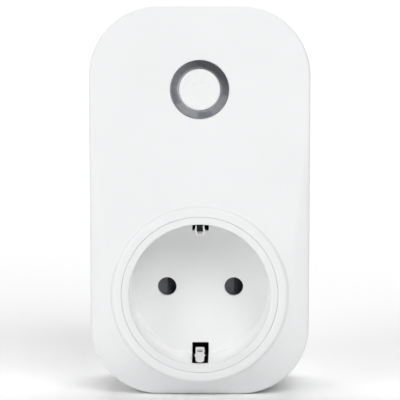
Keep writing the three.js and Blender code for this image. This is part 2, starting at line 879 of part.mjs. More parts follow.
const relay = {
  x0: 5.5, x1: 18, z0: 30, z1: 59, backY: -28, baseY: -42.3, coreY: -36.8, centreX: 11.75, wall: 0.8,
};

function relayBase() {
  return box(relay.x0, relay.x1, backSide, relay.baseY, relay.z0, relay.z1);
}

function relayCover() {
  const skin = relay.wall;
  const frontY = relay.baseY + gap;
  const outer = box(relay.x0, relay.x1, frontY, relay.backY, relay.z0, relay.z1);
  return outer.subtract(box(
    relay.x0 + skin, relay.x1 - skin, frontY - over, relay.backY - skin, relay.z0 + skin, relay.z1 - skin,
  ));
}

// the iron path: a foot, an upright behind the coil and the core through it
function relayYoke() {
  const footZ = 31.9;
  const uprightY = -31.5;
  const topZ = 47.3;
  const frame = bentStrip([[-40.6, footZ], [uprightY, footZ], [uprightY, topZ]], 1.2);
  const core = rodZ(1.3, footZ + 0.1, topZ - gap, relay.centreX, relay.coreY, 16);
  return plateX(frame, relay.centreX - 4, relay.centreX + 4).add(core);
}

// the winding on its bobbin, whose flanges stand proud at both ends
function relayCoil() {
  const bore = 1.6;
  const winding = 3.7;
  const flange = 4.3;
  const z0 = 32.8;
  const z1 = 46.4;
  const profile = [
    [bore, z0],
    [flange, z0],
    [flange, z0 + 1],
    [winding, z0 + 1],
    [winding, z1 - 1],
    [flange, z1 - 1],
    [flange, z1],
    [bore, z1],
    [bore, z0],
  ];
  const points = profile.map(([r, z]) => new THREE.Vector2(r, z));
  const geometry = new THREE.LatheGeometry(points, 24);
  geometry.rotateX(Math.PI / 2);
  geometry.translate(relay.centreX, relay.coreY, 0);
  return solid(geometry);
}

const armatureZ = 48.2;           // the armature's underside
const contactZ = 54.6;            // where the relay's two contacts meet

function relayArmature() {
  return box(relay.centreX - 4, relay.centreX + 4, -40, -30.9, armatureZ, armatureZ + 1);
}

// the springy arm on the armature, with its contact rivet
function relayArm() {
  const rootZ = armatureZ + 1.5;
  const tipY = -38.7;
  const bend = bentStrip([[-32, rootZ], [tipY, rootZ], [tipY, contactZ + 1.4]], 0.4);
  const arm = plateX(bend, relay.centreX - 2, relay.centreX + 2);
  return arm.add(rodY(1.1, tipY - 0.7, tipY - 0.1, relay.centreX, contactZ, tiny));
}

// the fixed contact that the arm closes against
function relayContact() {
  const postY = -41.9;
  const bend = bentStrip([[postY, contactZ - 3.8], [postY, contactZ + 1.6]], 0.6);
  const post = plateX(bend, relay.centreX - 2, relay.centreX + 2);
  return post.add(rodY(1.2, postY + 0.2, postY + 1.5, relay.centreX, contactZ, tiny));
}

const transformer = { x0: -18, x1: -4, y0: -41.5, y1: -31.5, z0: 36.5, z1: 51, leg: 3.2 };

// a three-legged core with two windows; its middle leg is the thickest and carries the winding
function transformerCore() {
  const { x0, x1, y0, y1, z0, z1, leg } = transformer;
  const middleX = (x0 + x1) / 2;
  const outerLeg = 1.8;
  const yoke = 2;
  const windowAt = (left, right) => box(left, right, y0 - over, y1 + over, z0 + yoke, z1 - yoke);
  return box(x0, x1, y0, y1, z0, z1)
    .subtract(windowAt(x0 + outerLeg, middleX - leg / 2))
    .subtract(windowAt(middleX + leg / 2, x1 - outerLeg));
}

// the winding round the middle leg, on feet that reach the board
function transformerCoil() {
  const { x0, x1, y0, y1, z0, z1, leg } = transformer;
  const middleX = (x0 + x1) / 2;
  const half = 4.9;
  const clear = leg / 2 + gap;
  const lowZ = z0 + 2.3;
  const highZ = z1 - 2.3;
  const outer = box(middleX - half, middleX + half, backSide, y1 + 1.9, lowZ, highZ);
  const bore = box(middleX - clear, middleX + clear, backSide - over, y1 + gap, z0, z1 + over);
  return outer.subtract(bore).subtract(box(x0, x1, y0 - gap, y1 + gap, z0 - over, lowZ - 0.01));
}

function filmCapacitor() {
  return box(-18, -5, backSide, -32.5, 52.5, 58);
}

// a can with its axis along Y, on a narrower seal
function canCapacitor(radius, length, x, z) {
  const seal = radius - 0.3;
  const sealTop = backSide + 0.8;
  const backY = backSide + length;
  return turned([
    [0, backSide],
    [seal, backSide],
    [seal, sealTop],
    [radius, sealTop + 0.3],
    [radius, backY - 0.4],
    [radius - 0.4, backY],
    [0, backY],
  ], x, z, 24);
}

// a dipped disc on two legs
function varistor() {
  const x = 10;
  const z0 = 61.5;
  const z1 = 65;
  const discRadius = 4.4;
  const discY = -37.6;
  const legOffset = 2.8;
  const leg = (side) => blockAt(x + side * legOffset, (z0 + z1) / 2, 0.3, 0.3, backSide, -40);
  return rodZ(discRadius, z0, z1, x, discY, 24).add(leg(-1)).add(leg(1));
}

function fuse() {
  return rodX(1.8, 0.5, 11.5, -41.8, 69, 16);
}

// an alloy bar bent into a bridge, which carries the metered current
function shuntResistor() {
  const backY = -40.5;
  const bridge = bentStrip([[-4, backSide], [-4, backY], [3, backY], [3, backSide]], 1);
  return plateZ(bridge, 31, 34);
}

function meteringChip() {
  return box(-15, -5, -47.6, frontSide, 36, 40);
}

// a small board flat on the main board's front, and the can over its circuits
const radioBoardFrontY = frontSide - 0.8;

function radioBoard() {
  return box(1, 17, radioBoardFrontY, frontSide, 28, 49.5);
}

function radioShield() {
  const backY = radioBoardFrontY - gap;
  return box(2.5, 15.5, backY - 2.2, backY, 29.5, 42.5);
}

// ---------------------------------------------------------------- the assembly

const whitePlastic = { color: 0xf1f2f3, roughness: 0.45, metalness: 0 };
const darkPlastic = { color: 0x26282b, roughness: 0.5, metalness: 0 };
const smokedPlastic = { color: 0x74777b, roughness: 0.2, metalness: 0 };
const nickel = { color: 0xc9c7c0, roughness: 0.25, metalness: 1 };
const copper = { color: 0xb87a4a, roughness: 0.35, metalness: 1 };
const brass = { color: 0xc2a15a, roughness: 0.35, metalness: 1 };
const steel = { color: 0xa7a9ab, roughness: 0.35, metalness: 1 };
const boardGreen = { color: 0x1f5a36, roughness: 0.5, metalness: 0 };
const labelGrey = { color: 0xcfd2d4, roughness: 0.4, metalness: 0 };
const cream = { color: 0xd9d4c6, roughness: 0.6, metalness: 0 };
const shutterGrey = { color: 0x55585c, roughness: 0.5, metalness: 0 };
const ivory = { color: 0xe3e0d6, roughness: 0.5, metalness: 0 };
const lens = { color: 0xf3f0dc, roughness: 0.3, metalness: 0 };
const relayBlue = { color: 0x2f6fae, roughness: 0.45, metalness: 0 };
const ferrite = { color: 0x3a3c40, roughness: 0.7, metalness: 0 };
const tape = { color: 0xe0c24a, roughness: 0.5, metalness: 0 };
const filmBlue = { color: 0x3c6fb0, roughness: 0.4, metalness: 0 };
const canBlack = { color: 0x20252c, roughness: 0.4, metalness: 0 };
const varistorBlue = { color: 0x2d57a8, roughness: 0.5, metalness: 0 };
const ceramic = { color: 0xe6e2d8, roughness: 0.5, metalness: 0 };

const meter = new THREE.Group();

function place(name, body, material) {
  const mesh = new THREE.Mesh(surface(body), new THREE.MeshStandardMaterial(material));
  mesh.name = name;
  meter.add(mesh);
}

place('front_cover', frontCover(), whitePlastic);
place('rear_cover', rearCover(), whitePlastic);
place('socket_insert', socketInsert(), whitePlastic);
place('plug_nose', plugNose(), whitePlastic);
place('light_ring', lightRing(), smokedPlastic);
place('power_button', powerButton(), whitePlastic);
place('rating_label', ratingLabel(), labelGrey);
caseScrews.forEach(([x, z], i) => place(`case_screw_${i + 1}`, caseScrew(x, z), steel));

place('plug_pin_line', plugPin(-1), nickel);
place('plug_pin_neutral', plugPin(1), nickel);
place('pin_retainer', pinRetainer(), darkPlastic);
place('plug_earth_top', plugEarthStrip(1), nickel);
place('plug_earth_bottom', plugEarthStrip(-1), nickel);
place('plug_earth_sleeve', plugEarthSleeve(), brass);

place('contact_carrier', contactCarrier(), cream);
place('contact_line', socketContact(-1), brass);
place('contact_neutral', socketContact(1), brass);
place('shutter', shutter(), shutterGrey);
place('shutter_spring', shutterSpring(), steel);
place('earth_bridge', earthBridge(), nickel);
place('earth_clip_top', earthClip(1), nickel);
place('earth_clip_bottom', earthClip(-1), nickel);

place('neutral_strap', neutralStrap(), copper);
place('line_strap_in', lineStrapIn(), copper);
place('line_strap_out', lineStrapOut(), copper);

place('circuit_board', circuitBoard(), boardGreen);
boardPosts.forEach(([x, z], i) => place(`board_screw_${i + 1}`, boardScrew(x, z), steel));
place('button_switch', buttonSwitch(), darkPlastic);
place('switch_plunger', switchPlunger(), ivory);
const ledOffset = 0.75 * (ringInner + ringOuter) / 2;
[[1, 1], [-1, 1], [-1, -1], [1, -1]].forEach(([sx, sz], i) => {
  place(`led_${i + 1}`, led(sx * ledOffset, buttonZ + sz * ledOffset), lens);
});
place('relay_base', relayBase(), darkPlastic);
place('relay_cover', relayCover(), relayBlue);
place('relay_yoke', relayYoke(), steel);
place('relay_coil', relayCoil(), copper);
place('relay_armature', relayArmature(), steel);
place('relay_arm', relayArm(), copper);
place('relay_contact', relayContact(), copper);
place('transformer_core', transformerCore(), ferrite);
place('transformer_coil', transformerCoil(), tape);
place('film_capacitor', filmCapacitor(), filmBlue);
place('input_capacitor', canCapacitor(4, 12, -11.5, 65), canBlack);
place('output_capacitor', canCapacitor(3.15, 8, -2.5, 65), canBlack);
place('varistor', varistor(), varistorBlue);
place('fuse', fuse(), ceramic);
place('shunt_resistor', shuntResistor(), copper);
place('metering_chip', meteringChip(), darkPlastic);
place('radio_board', radioBoard(), boardGreen);
place('radio_shield', radioShield(), steel);

export default meter;
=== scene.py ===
"""The looks of a plug in power meter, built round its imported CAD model.

Pieces are made from sizes in millimetres, in the CAD model's own frame: the origin is the
centre of the plug nose's front face, +X is right, +Y runs into the wall and +Z is up.
Every outer piece is a fine mesh that stands for its CAD node. Inner nodes keep their CAD mesh
and get a material.
"""

import json
import math

import bmesh
import bpy
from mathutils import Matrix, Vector


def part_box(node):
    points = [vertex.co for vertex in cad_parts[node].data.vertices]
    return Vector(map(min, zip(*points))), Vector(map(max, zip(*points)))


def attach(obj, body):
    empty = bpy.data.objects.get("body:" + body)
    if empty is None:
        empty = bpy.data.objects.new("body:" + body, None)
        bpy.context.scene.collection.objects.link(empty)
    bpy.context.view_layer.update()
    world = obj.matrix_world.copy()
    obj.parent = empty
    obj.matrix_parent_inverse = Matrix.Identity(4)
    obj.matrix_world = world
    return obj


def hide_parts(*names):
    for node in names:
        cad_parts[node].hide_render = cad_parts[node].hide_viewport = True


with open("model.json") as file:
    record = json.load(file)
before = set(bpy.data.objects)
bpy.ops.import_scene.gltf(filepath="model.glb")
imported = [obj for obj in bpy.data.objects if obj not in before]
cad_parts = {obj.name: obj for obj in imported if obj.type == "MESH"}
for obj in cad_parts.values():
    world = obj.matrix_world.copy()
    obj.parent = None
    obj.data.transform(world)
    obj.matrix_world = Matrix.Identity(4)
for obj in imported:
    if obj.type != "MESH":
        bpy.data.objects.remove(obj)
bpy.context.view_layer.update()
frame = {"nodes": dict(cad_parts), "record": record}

MM = 0.001


# ---------------------------------------------------------------- sizes from the frame

def box_mm(node):
    """A CAD node's lowest and highest corner, in millimetres."""
    low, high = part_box(node)
    return low / MM, high / MM


def middle(node):
    """The middle of a CAD node's box, in millimetres."""
    low, high = box_mm(node)
    return (low + high) / 2


front_low, front_high = box_mm("front_cover")
nose_low, nose_high = box_mm("plug_nose")
ring_high = box_mm("light_ring")[1]
button_low, button_high = box_mm("power_button")
pin_low, pin_high = box_mm("plug_pin_neutral")

HALF_WIDTH = front_high.x
BOTTOM_Z = front_low.z
TOP_Z = front_high.z
MIDDLE_Z = (BOTTOM_Z + TOP_Z) / 2
HALF_HEIGHT = (TOP_Z - BOTTOM_Z) / 2
CORNER = 19.3                                  # the outline's corner radius
GAP = 0.3                                      # between neighbouring pieces
RIM_Y = front_low.y                            # the socket's rim
FACE_Y = RIM_Y + 1                             # the flat front
PARTING_Y = front_high.y                       # where the covers meet
WALL_Y = box_mm("rear_cover")[1].y             # the rear face
WALL = 2                                       # the covers' thickness
LIP_HEIGHT = 2                                 # the rear cover's lip stands in the front cover
LIP_THICKNESS = 1
PARTING_EDGE = 0.25                            # rounding of both covers at the parting line

COLLAR = box_mm("socket_insert")[1].x          # the insert's flange is as wide as the collar
BORE = COLLAR - 2.75                           # the hole in the collar
TUBE_BACK_Y = RIM_Y + 13                       # the rear end of the tube behind the collar
INSERT = BORE - GAP
SEAM = 0.055                                   # what the eye sees of the gap round a piece
RECESS = 19.5
FLOOR_Y = RIM_Y + 17.5
FLOOR_BACK_Y = FLOOR_Y + 2
PIN_X = middle("plug_pin_neutral").x
PIN_RADIUS = 2.4
HOLE_RADIUS = 2.65
EARTH_PIN_Z = middle("plug_earth_sleeve").z
EARTH_BORE = 2.6                               # the hole for a fixed earth pin
NOSE_RADIUS = 18.5
NOSE_BORE = 16.3

SLOT = 2.35                                    # half the width of an earth clip's slot
SLOT_Y = RIM_Y + 2.4                           # the slots' front end
CLIP_FOOT = (-37.4, 19.2)                      # (y, distance from the axis) along a clip
CLIP_CREST = (-50.2, 16.1)
CLIP_TIP = (-54.8, 19.3)
CLIP_WINDOW = (CLIP_CREST[0] - 1.95, CLIP_CREST[0] - 1.2)
CLIP_BARB_Y = CLIP_CREST[0] - 2.8
CLIP_HALF = 1.2                                # half a clip's width
CLIP_THICKNESS = 0.5
CLIP_TRAVEL = 2.5
POCKET = CLIP_TIP[1] + CLIP_TRAVEL + CLIP_THICKNESS + GAP  # how far the collar's pockets reach

BUTTON_Z = middle("power_button").z
FLANGE = 1.4                                   # the ring's and the button's hidden flanges
BUTTON = button_high.x - FLANGE
RING_INNER = BUTTON + 0.25
RING_OUTER = ring_high.x - FLANGE

SKIRT_TOP_Z = 52                               # the side bevels begin here, and widen downwards
SKIRT_SIDE = 1.9                               # how far they fall beside the socket
SKIRT_DROP = 7.2                               # how far the front falls to the lower edge
EDGE = 0.8                                     # rounding of the front's edge

SCREWS = (1, 2, 3, 4)                          # the case screws' numbers
LABEL_CORNER = 1.5


# ---------------------------------------------------------------- mesh helpers

SAME_PLACE = 1e-7                              # metres, closer points are one point


def weld(mesh):
    """Merges points that lie on each other, and turns the faces outwards."""
    bm = bmesh.new()
    bm.from_mesh(mesh)
    bmesh.ops.remove_doubles(bm, verts=bm.verts, dist=SAME_PLACE)
    bmesh.ops.recalc_face_normals(bm, faces=bm.faces)
    bm.to_mesh(mesh)
    bm.free()


def new_piece(name, points, faces):
    """An object from points in millimetres."""
    mesh = bpy.data.meshes.new(name)
    mesh.from_pydata([Vector(p) * MM for p in points], [], faces)
    weld(mesh)
    piece = bpy.data.objects.new(name, mesh)
    bpy.context.scene.collection.objects.link(piece)
    return piece


def lerp(a, b, t):
    """The value at share t of the way from a to b."""
    return a + (b - a) * t


def smoothstep(t):
    """A share from 0 to 1 that starts and ends gently."""
    t = min(max(t, 0), 1)
    return t * t * (3 - 2 * t)


def corner_arc(start, corner, end, steps):
    """Points on the curve from start to end that rounds off a corner."""
    made = []
    for i in range(steps + 1):
        t = i / steps
        made.append(tuple(
            (1 - t) ** 2 * a + 2 * t * (1 - t) * b + t ** 2 * c
            for a, b, c in zip(start, corner, end)
        ))
    return made


def soften(profile, steps=5):
    """A profile of (radius, y, rounding) with its corners rounded, as (radius, y) pairs."""
    made = []
    for i, (r, y, rounding) in enumerate(profile):
        if rounding == 0 or i in (0, len(profile) - 1):
            made.append((r, y))
            continue
        here = Vector((r, y))
        before = Vector(profile[i - 1][:2]) - here
        after = Vector(profile[i + 1][:2]) - here
        start = here + before.normalized() * min(rounding, before.length * 0.49)
        end = here + after.normalized() * min(rounding, after.length * 0.49)
        made.extend(corner_arc(start, here, end, steps))
    return made


def bridge(rings, closed):
    """Faces between rings of points; a ring of one point is a pole. closed joins last to first."""
    points = []
    starts = []
    for ring in rings:
        starts.append(len(points))
        points.extend(ring)
    faces = []
    pairs = list(zip(range(len(rings) - 1), range(1, len(rings))))
    if closed:
        pairs.append((len(rings) - 1, 0))
    for a, b in pairs:
        count = max(len(rings[a]), len(rings[b]))
        for i in range(count):
            j = (i + 1) % count
            low = [starts[a]] if len(rings[a]) == 1 else [starts[a] + i, starts[a] + j]
            high = [starts[b]] if len(rings[b]) == 1 else [starts[b] + j, starts[b] + i]
            faces.append(low + high)
    return points, faces


ON_AXIS = 1e-6                                 # millimetres, a smaller radius is none


def turned(name, profile, x=0.0, z=0.0, sides=128):
    """A body turned about a line along Y. A profile that starts off the axis closes on itself."""
    rings = []
    for r, y in profile:
        if r < ON_AXIS:
            rings.append([(x, y, z)])
            continue
        rings.append([
            (x + r * math.cos(math.tau * i / sides), y, z + r * math.sin(math.tau * i / sides))
            for i in range(sides)
        ])
    points, faces = bridge(rings, closed=profile[0][0] > ON_AXIS)
    return new_piece(name, points, faces)


def block(name, low, high, rounding=0.0, segments=3):
    """A box between two corners with rounded edges."""
    bm = bmesh.new()
    bmesh.ops.create_cube(bm, size=1)
    for v in bm.verts:
        v.co = Vector([lerp(low[i], high[i], v.co[i] + 0.5) * MM for i in range(3)])
    if rounding:
        bmesh.ops.bevel(
            bm, geom=bm.edges[:], offset=rounding * MM, segments=segments,
            affect="EDGES", profile=0.5,
        )
    mesh = bpy.data.meshes.new(name)
    bm.to_mesh(mesh)
    bm.free()
    piece = bpy.data.objects.new(name, mesh)
    bpy.context.scene.collection.objects.link(piece)
    return piece


def settle(piece):
    """Applies a piece's modifiers to its mesh."""
    graph = bpy.context.evaluated_depsgraph_get()
    made = bpy.data.meshes.new_from_object(piece.evaluated_get(graph))
    piece.modifiers.clear()
    old = piece.data
    piece.data = made
    bpy.data.meshes.remove(old)
    made.name = piece.name
    weld(made)


def cut(piece, cutters):
    """Cuts the cutters from a piece and removes them."""
    for cutter in cutters:
        step = piece.modifiers.new("cut", "BOOLEAN")
        step.operation = "DIFFERENCE"
        step.solver = "EXACT"
        step.object = cutter
    settle(piece)
    for cutter in cutters:
        mesh = cutter.data
        bpy.data.objects.remove(cutter)
        bpy.data.meshes.remove(mesh)
    return piece


def smooth(piece, angle=32):
    """Smooth shading with sharp edges kept, and flat faces left flat."""
    for polygon in piece.data.polygons:
        polygon.use_smooth = True
    piece.data.set_sharp_from_angle(angle=math.radians(angle))
    weighted = piece.modifiers.new("normals", "WEIGHTED_NORMAL")
    weighted.keep_sharp = True
    weighted.weight = 60


def finish_piece(piece, body, node, slot, look=None):
    """Rides a piece on its body in place of its CAD node. Its look is its slot's unless named."""
    smooth(piece)
    piece.data.materials.clear()
    piece.data.materials.append(looks[look or slot])
    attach(piece, body)
    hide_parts(node)


# ---------------------------------------------------------------- materials

MIX_FIRST, MIX_SECOND, MIX_RESULT = 6, 7, 2     # a Mix node's colour sockets


class Nodes:
    """A material's node tree, with short calls for the nodes used here."""

    def __init__(self, name):
        self.material = bpy.data.materials.new(name)
        self.material.use_nodes = True
        self.tree = self.material.node_tree
        self.shader = self.tree.nodes["Principled BSDF"]
        self.place = self.add("ShaderNodeTexCoord").outputs["Object"]

    def add(self, kind, **settings):
        node = self.tree.nodes.new(kind)
        for key, value in settings.items():
            setattr(node, key, value)
        return node

    def link(self, source, target):
        self.tree.links.new(source, target)

    def source(self, name):
        """What already feeds one of the shader's inputs."""
        return self.shader.inputs[name].links[0].from_socket

    def axes(self):
        """Where a point lies, as X, Y and Z in metres."""
        split = self.add("ShaderNodeSeparateXYZ")
        self.link(self.place, split.inputs["Vector"])
        return split.outputs

    def stretched(self, scale):
        """The place with each axis scaled, which stretches a texture along the smaller ones."""
        mapping = self.add("ShaderNodeMapping")
        mapping.inputs["Scale"].default_value = scale
        self.link(self.place, mapping.inputs["Vector"])
        return mapping.outputs["Vector"]

    def noise(self, per_metre, detail=2.0, roughness=0.5, vector=None):
        """Soft noise from 0 to 1."""
        node = self.add("ShaderNodeTexNoise")
        node.inputs["Scale"].default_value = per_metre
        node.inputs["Detail"].default_value = detail
        node.inputs["Roughness"].default_value = roughness
        self.link(vector or self.place, node.inputs["Vector"])
        return node.outputs["Fac"]

    def ramp(self, source, stops):
        """A colour for each value, from (value, colour) stops."""
        node = self.add("ShaderNodeValToRGB")
        ramp = node.color_ramp
        for i, (position, colour) in enumerate(stops):
            stop = ramp.elements[i] if i < 2 else ramp.elements.new(position)
            stop.position = position
            stop.color = (*colour, 1)
        self.link(source, node.inputs["Fac"])
        return node.outputs["Color"]

    def spread(self, source, low, high, out_low, out_high):
        """Maps low..high to out_low..out_high, and stays at the ends outside it."""
        node = self.add("ShaderNodeMapRange")
        node.inputs["From Min"].default_value = low
        node.inputs["From Max"].default_value = high
        node.inputs["To Min"].default_value = out_low
        node.inputs["To Max"].default_value = out_high
        self.link(source, node.inputs["Value"])
        return node.outputs["Result"]

    def times(self, first, second):
        """The product of two values."""
        node = self.add("ShaderNodeMath", operation="MULTIPLY")
        self.link(first, node.inputs[0])
        self.link(second, node.inputs[1])
        return node.outputs["Value"]

    def vector(self, operation, first, second):
        """A vector operation between a socket and a fixed vector."""
        node = self.add("ShaderNodeVectorMath", operation=operation)
        self.link(first, node.inputs[0])
        node.inputs[1].default_value = second
        return node.outputs

    def mixed(self, share, first, second):
        """A colour that goes from the first to the second as the share goes from 0 to 1."""
        node = self.add("ShaderNodeMix", data_type="RGBA")
        self.link(share, node.inputs["Factor"])
        self.link(first, node.inputs[MIX_FIRST])
        self.link(second, node.inputs[MIX_SECOND])
        return node.outputs[MIX_RESULT]

    def bump(self, height, distance):
        """A surface normal bent by a height from 0 to 1 over this many metres."""
        node = self.add("ShaderNodeBump")
        node.inputs["Distance"].default_value = distance
        node.inputs["Strength"].default_value = 1.0
        self.link(height, node.inputs["Height"])
        return node.outputs["Normal"]

    def feed(self, name, source):
        """Links a socket to one of the shader's inputs."""
        self.link(source, self.shader.inputs[name])

    def set(self, **values):
        """Sets the shader's inputs to fixed values. An underscore stands for a space."""
        for key, value in values.items():
            self.shader.inputs[key.replace("_", " ")].default_value = value


def shade(colour, factor):
    """A colour made darker or lighter."""
    return tuple(min(c * factor, 1) for c in colour)


GRAIN_PER_METRE = 2600


def plastic_nodes(name, colour, roughness, grain=0.000012, mottle=0.012):
    """Moulded plastic: a spark-eroded grain this deep, and the faint flow marks of a moulding."""
    n = Nodes(name)
    flow = n.noise(38, detail=3)
    tints = [(0.3, shade(colour, 1 - mottle)), (0.7, shade(colour, 1 + mottle))]
    n.feed("Base Color", n.ramp(flow, tints))
    grains = n.noise(GRAIN_PER_METRE, detail=2, roughness=0.6)
    wear = n.noise(140, detail=4)
    n.feed("Roughness", n.spread(wear, 0.3, 0.7, roughness - 0.035, roughness + 0.035))
    n.feed("Normal", n.bump(grains, grain))
    n.set(IOR=1.46)
    return n


def plastic(name, colour, roughness, **finish):
    return plastic_nodes(name, colour, roughness, **finish).material


def recess_plastic(name, colour, painted_recess_colour):
    """The insert's plastic, which is matt inside the recess, with painted light that makes the recess
    brighter than its rim and painted shade on its floor.
    """
    n = plastic_nodes(name, colour, 0.4, grain=0.000016)
    y = n.axes()["Y"]
    depth = n.spread(y, RIM_Y * MM, (RIM_Y + 1.5) * MM, 0, 1)
    # Painted shade: the floor of the recess is painted darker than its walls.
    floor_painted_shade = n.spread(y, (FLOOR_Y - 4) * MM, (FLOOR_Y - 0.8) * MM, 0, 1)
    recess_painted_light = n.ramp(floor_painted_shade, [(0.0, painted_recess_colour), (1.0, shade(painted_recess_colour, 0.935))])
    # Painted light: below the rim the recess takes a brighter colour than the rim.
    n.feed("Base Color", n.mixed(depth, n.source("Base Color"), recess_painted_light))
    n.feed("Roughness", n.times(n.source("Roughness"), n.spread(depth, 0, 1, 1, RECESS_MATT)))
    return n.material


def smoked_plastic(name):
    """A tinted light guide: glossy, with painted highlights at both edges and painted shade darker up
    to the right, finely clouded.
    """
    n = Nodes(name)
    offset = n.vector("SUBTRACT", n.place, (0, 0, BUTTON_Z * MM))["Vector"]
    flat = n.vector("MULTIPLY", offset, (1, 0, 1))["Vector"]
    reach = n.add("ShaderNodeVectorMath", operation="LENGTH")
    n.link(flat, reach.inputs[0])
    across = n.spread(reach.outputs["Value"], RING_INNER * MM, RING_OUTER * MM, 0, 1)
    # Painted highlights: the ring's inner and outer edges are painted paler than its middle.
    tint_with_edge_highlights = n.ramp(across, [
        (0.0, (0.42, 0.43, 0.445)),
        (0.2, (0.15, 0.158, 0.174)),
        (0.8, (0.125, 0.133, 0.148)),
        (1.0, (0.24, 0.25, 0.265)),
    ])
    # Painted shade: the ring darkens towards the top right and lightens towards the lower left.
    down_left = n.vector("DOT_PRODUCT", flat, (-0.53, 0, -0.85))["Value"]
    along = n.spread(down_left, -RING_OUTER * MM, RING_OUTER * MM, 0, 1)
    ring_painted_shade = n.ramp(along, [(stop, (light, light, light)) for stop, light in (
        (0.0, 0.18), (0.13, 0.2), (0.29, 0.4), (0.7, 0.64), (0.87, 0.6), (1.0, 0.58),
    )])
    speckle = n.spread(n.noise(900, detail=4, roughness=0.7), 0.3, 0.7, 1.64, 2.32)
    clouded_and_shaded = n.add("ShaderNodeVectorMath", operation="SCALE")
    n.link(tint_with_edge_highlights, clouded_and_shaded.inputs[0])
    n.link(n.times(ring_painted_shade, speckle), clouded_and_shaded.inputs["Scale"])
    n.feed("Base Color", clouded_and_shaded.outputs["Vector"])
    n.feed("Roughness", n.spread(n.noise(900, detail=3), 0.3, 0.7, 0.32, 0.42))
    n.feed("Normal", n.bump(n.noise(1800), 0.000006))
    n.set(IOR=1.25, Coat_Weight=0.5, Coat_Roughness=0.08)
    return n.material


def plated_nodes(name, colour, roughness, lines):
    """Plated or bare metal with fine drawing lines, which run along the axes scaled down by lines."""
    n = Nodes(name)
    scratches = n.noise(2600, detail=4, roughness=0.6, vector=n.stretched(lines))
    cloud = n.noise(120, detail=3)
    n.feed("Base Color", n.ramp(cloud, [(0.3, shade(colour, 0.93)), (0.7, shade(colour, 1.04))]))
    n.feed("Roughness", n.spread(scratches, 0.25, 0.75, roughness - 0.05, roughness + 0.08))
    n.feed("Normal", n.bump(scratches, 0.0000015))
    n.set(Metallic=1.0)
    return n


def plated(name, colour, roughness, lines=(1, 1, 1)):
    return plated_nodes(name, colour, roughness, lines).material


def tip_shaded_plating(name, colour, dark, roughness, lines):
    """Plated metal with painted shade on the flat of a clip's tip, which leaves its edges plain."""
    n = plated_nodes(name, colour, roughness, lines)
    place = n.axes()
    aside = n.add("ShaderNodeMath", operation="ABSOLUTE")
    n.link(place["X"], aside.inputs[0])
    flat = n.spread(aside.outputs["Value"], 0.8 * MM, 0.95 * MM, 1, 0)
    edge_y = CLIP_WINDOW[0] - 0.45
    ahead = n.spread(place["Y"], (edge_y - 0.2) * MM, (edge_y + 0.2) * MM, 1, 0)
    # Painted shade: a near-black colour laid on the flat of the tip.
    tip_painted_shade = n.add("ShaderNodeRGB")
    tip_painted_shade.outputs["Color"].default_value = (*dark, 1)
    shaded_base = n.mixed(n.times(flat, ahead), n.source("Base Color"), tip_painted_shade.outputs["Color"])
    n.feed("Base Color", shaded_base)
    return n.material


def banded(name, dark, light, per_metre, axis, roughness, metallic=0.0):
    """A winding or a stack: fine parallel bands across one axis."""
    n = Nodes(name)
    wave = n.add("ShaderNodeTexWave", wave_type="BANDS", bands_direction=axis)
    wave.inputs["Scale"].default_value = per_metre
    wave.inputs["Distortion"].default_value = 0.4
    n.link(n.place, wave.inputs["Vector"])
    n.feed("Base Color", n.ramp(wave.outputs["Fac"], [(0.15, dark), (0.7, light)]))
    n.feed("Normal", n.bump(wave.outputs["Fac"], 0.00006))
    n.set(Metallic=metallic, Roughness=roughness)
    return n.material


def circuit(name):
    """A printed board: green mask over darker and lighter copper runs."""
    n = Nodes(name)
    cells = n.add("ShaderNodeTexBrick")
    cells.inputs["Scale"].default_value = 160
    cells.inputs["Mortar Size"].default_value = 0.08
    cells.inputs["Color1"].default_value = (0.012, 0.085, 0.038, 1)
    cells.inputs["Color2"].default_value = (0.018, 0.12, 0.052, 1)
    cells.inputs["Mortar"].default_value = (0.03, 0.19, 0.085, 1)
    flat = n.add("ShaderNodeMapping")
    flat.inputs["Rotation"].default_value = (math.pi / 2, 0, 0)
    n.link(n.place, flat.inputs["Vector"])
    n.link(flat.outputs["Vector"], cells.inputs["Vector"])
    n.feed("Base Color", cells.outputs["Color"])
    n.feed("Normal", n.bump(cells.outputs["Fac"], 0.00003))
    n.feed("Roughness", n.spread(n.noise(300), 0.3, 0.7, 0.25, 0.4))
    return n.material


def speckled(name, dark, light, per_metre=1400, roughness=0.6):
    """Sintered or dipped matter: a fine two-tone speckle."""
    n = Nodes(name)
    speck = n.noise(per_metre, detail=5, roughness=0.7)
    n.feed("Base Color", n.ramp(speck, [(0.38, dark), (0.62, light)]))
    n.feed("Roughness", n.spread(speck, 0.3, 0.7, roughness - 0.08, roughness + 0.08))
    n.feed("Normal", n.bump(speck, 0.00003))
    return n.material


RECESS_MATT = 2.0                              # how much rougher the recess is than its rim
WHITE = (0.864, 0.87, 0.875)
NICKEL = (0.72, 0.72, 0.71)
EARTH_NICKEL = shade(NICKEL, 1.3)
BRASS = (0.62, 0.43, 0.17)
COPPER = (0.62, 0.28, 0.15)

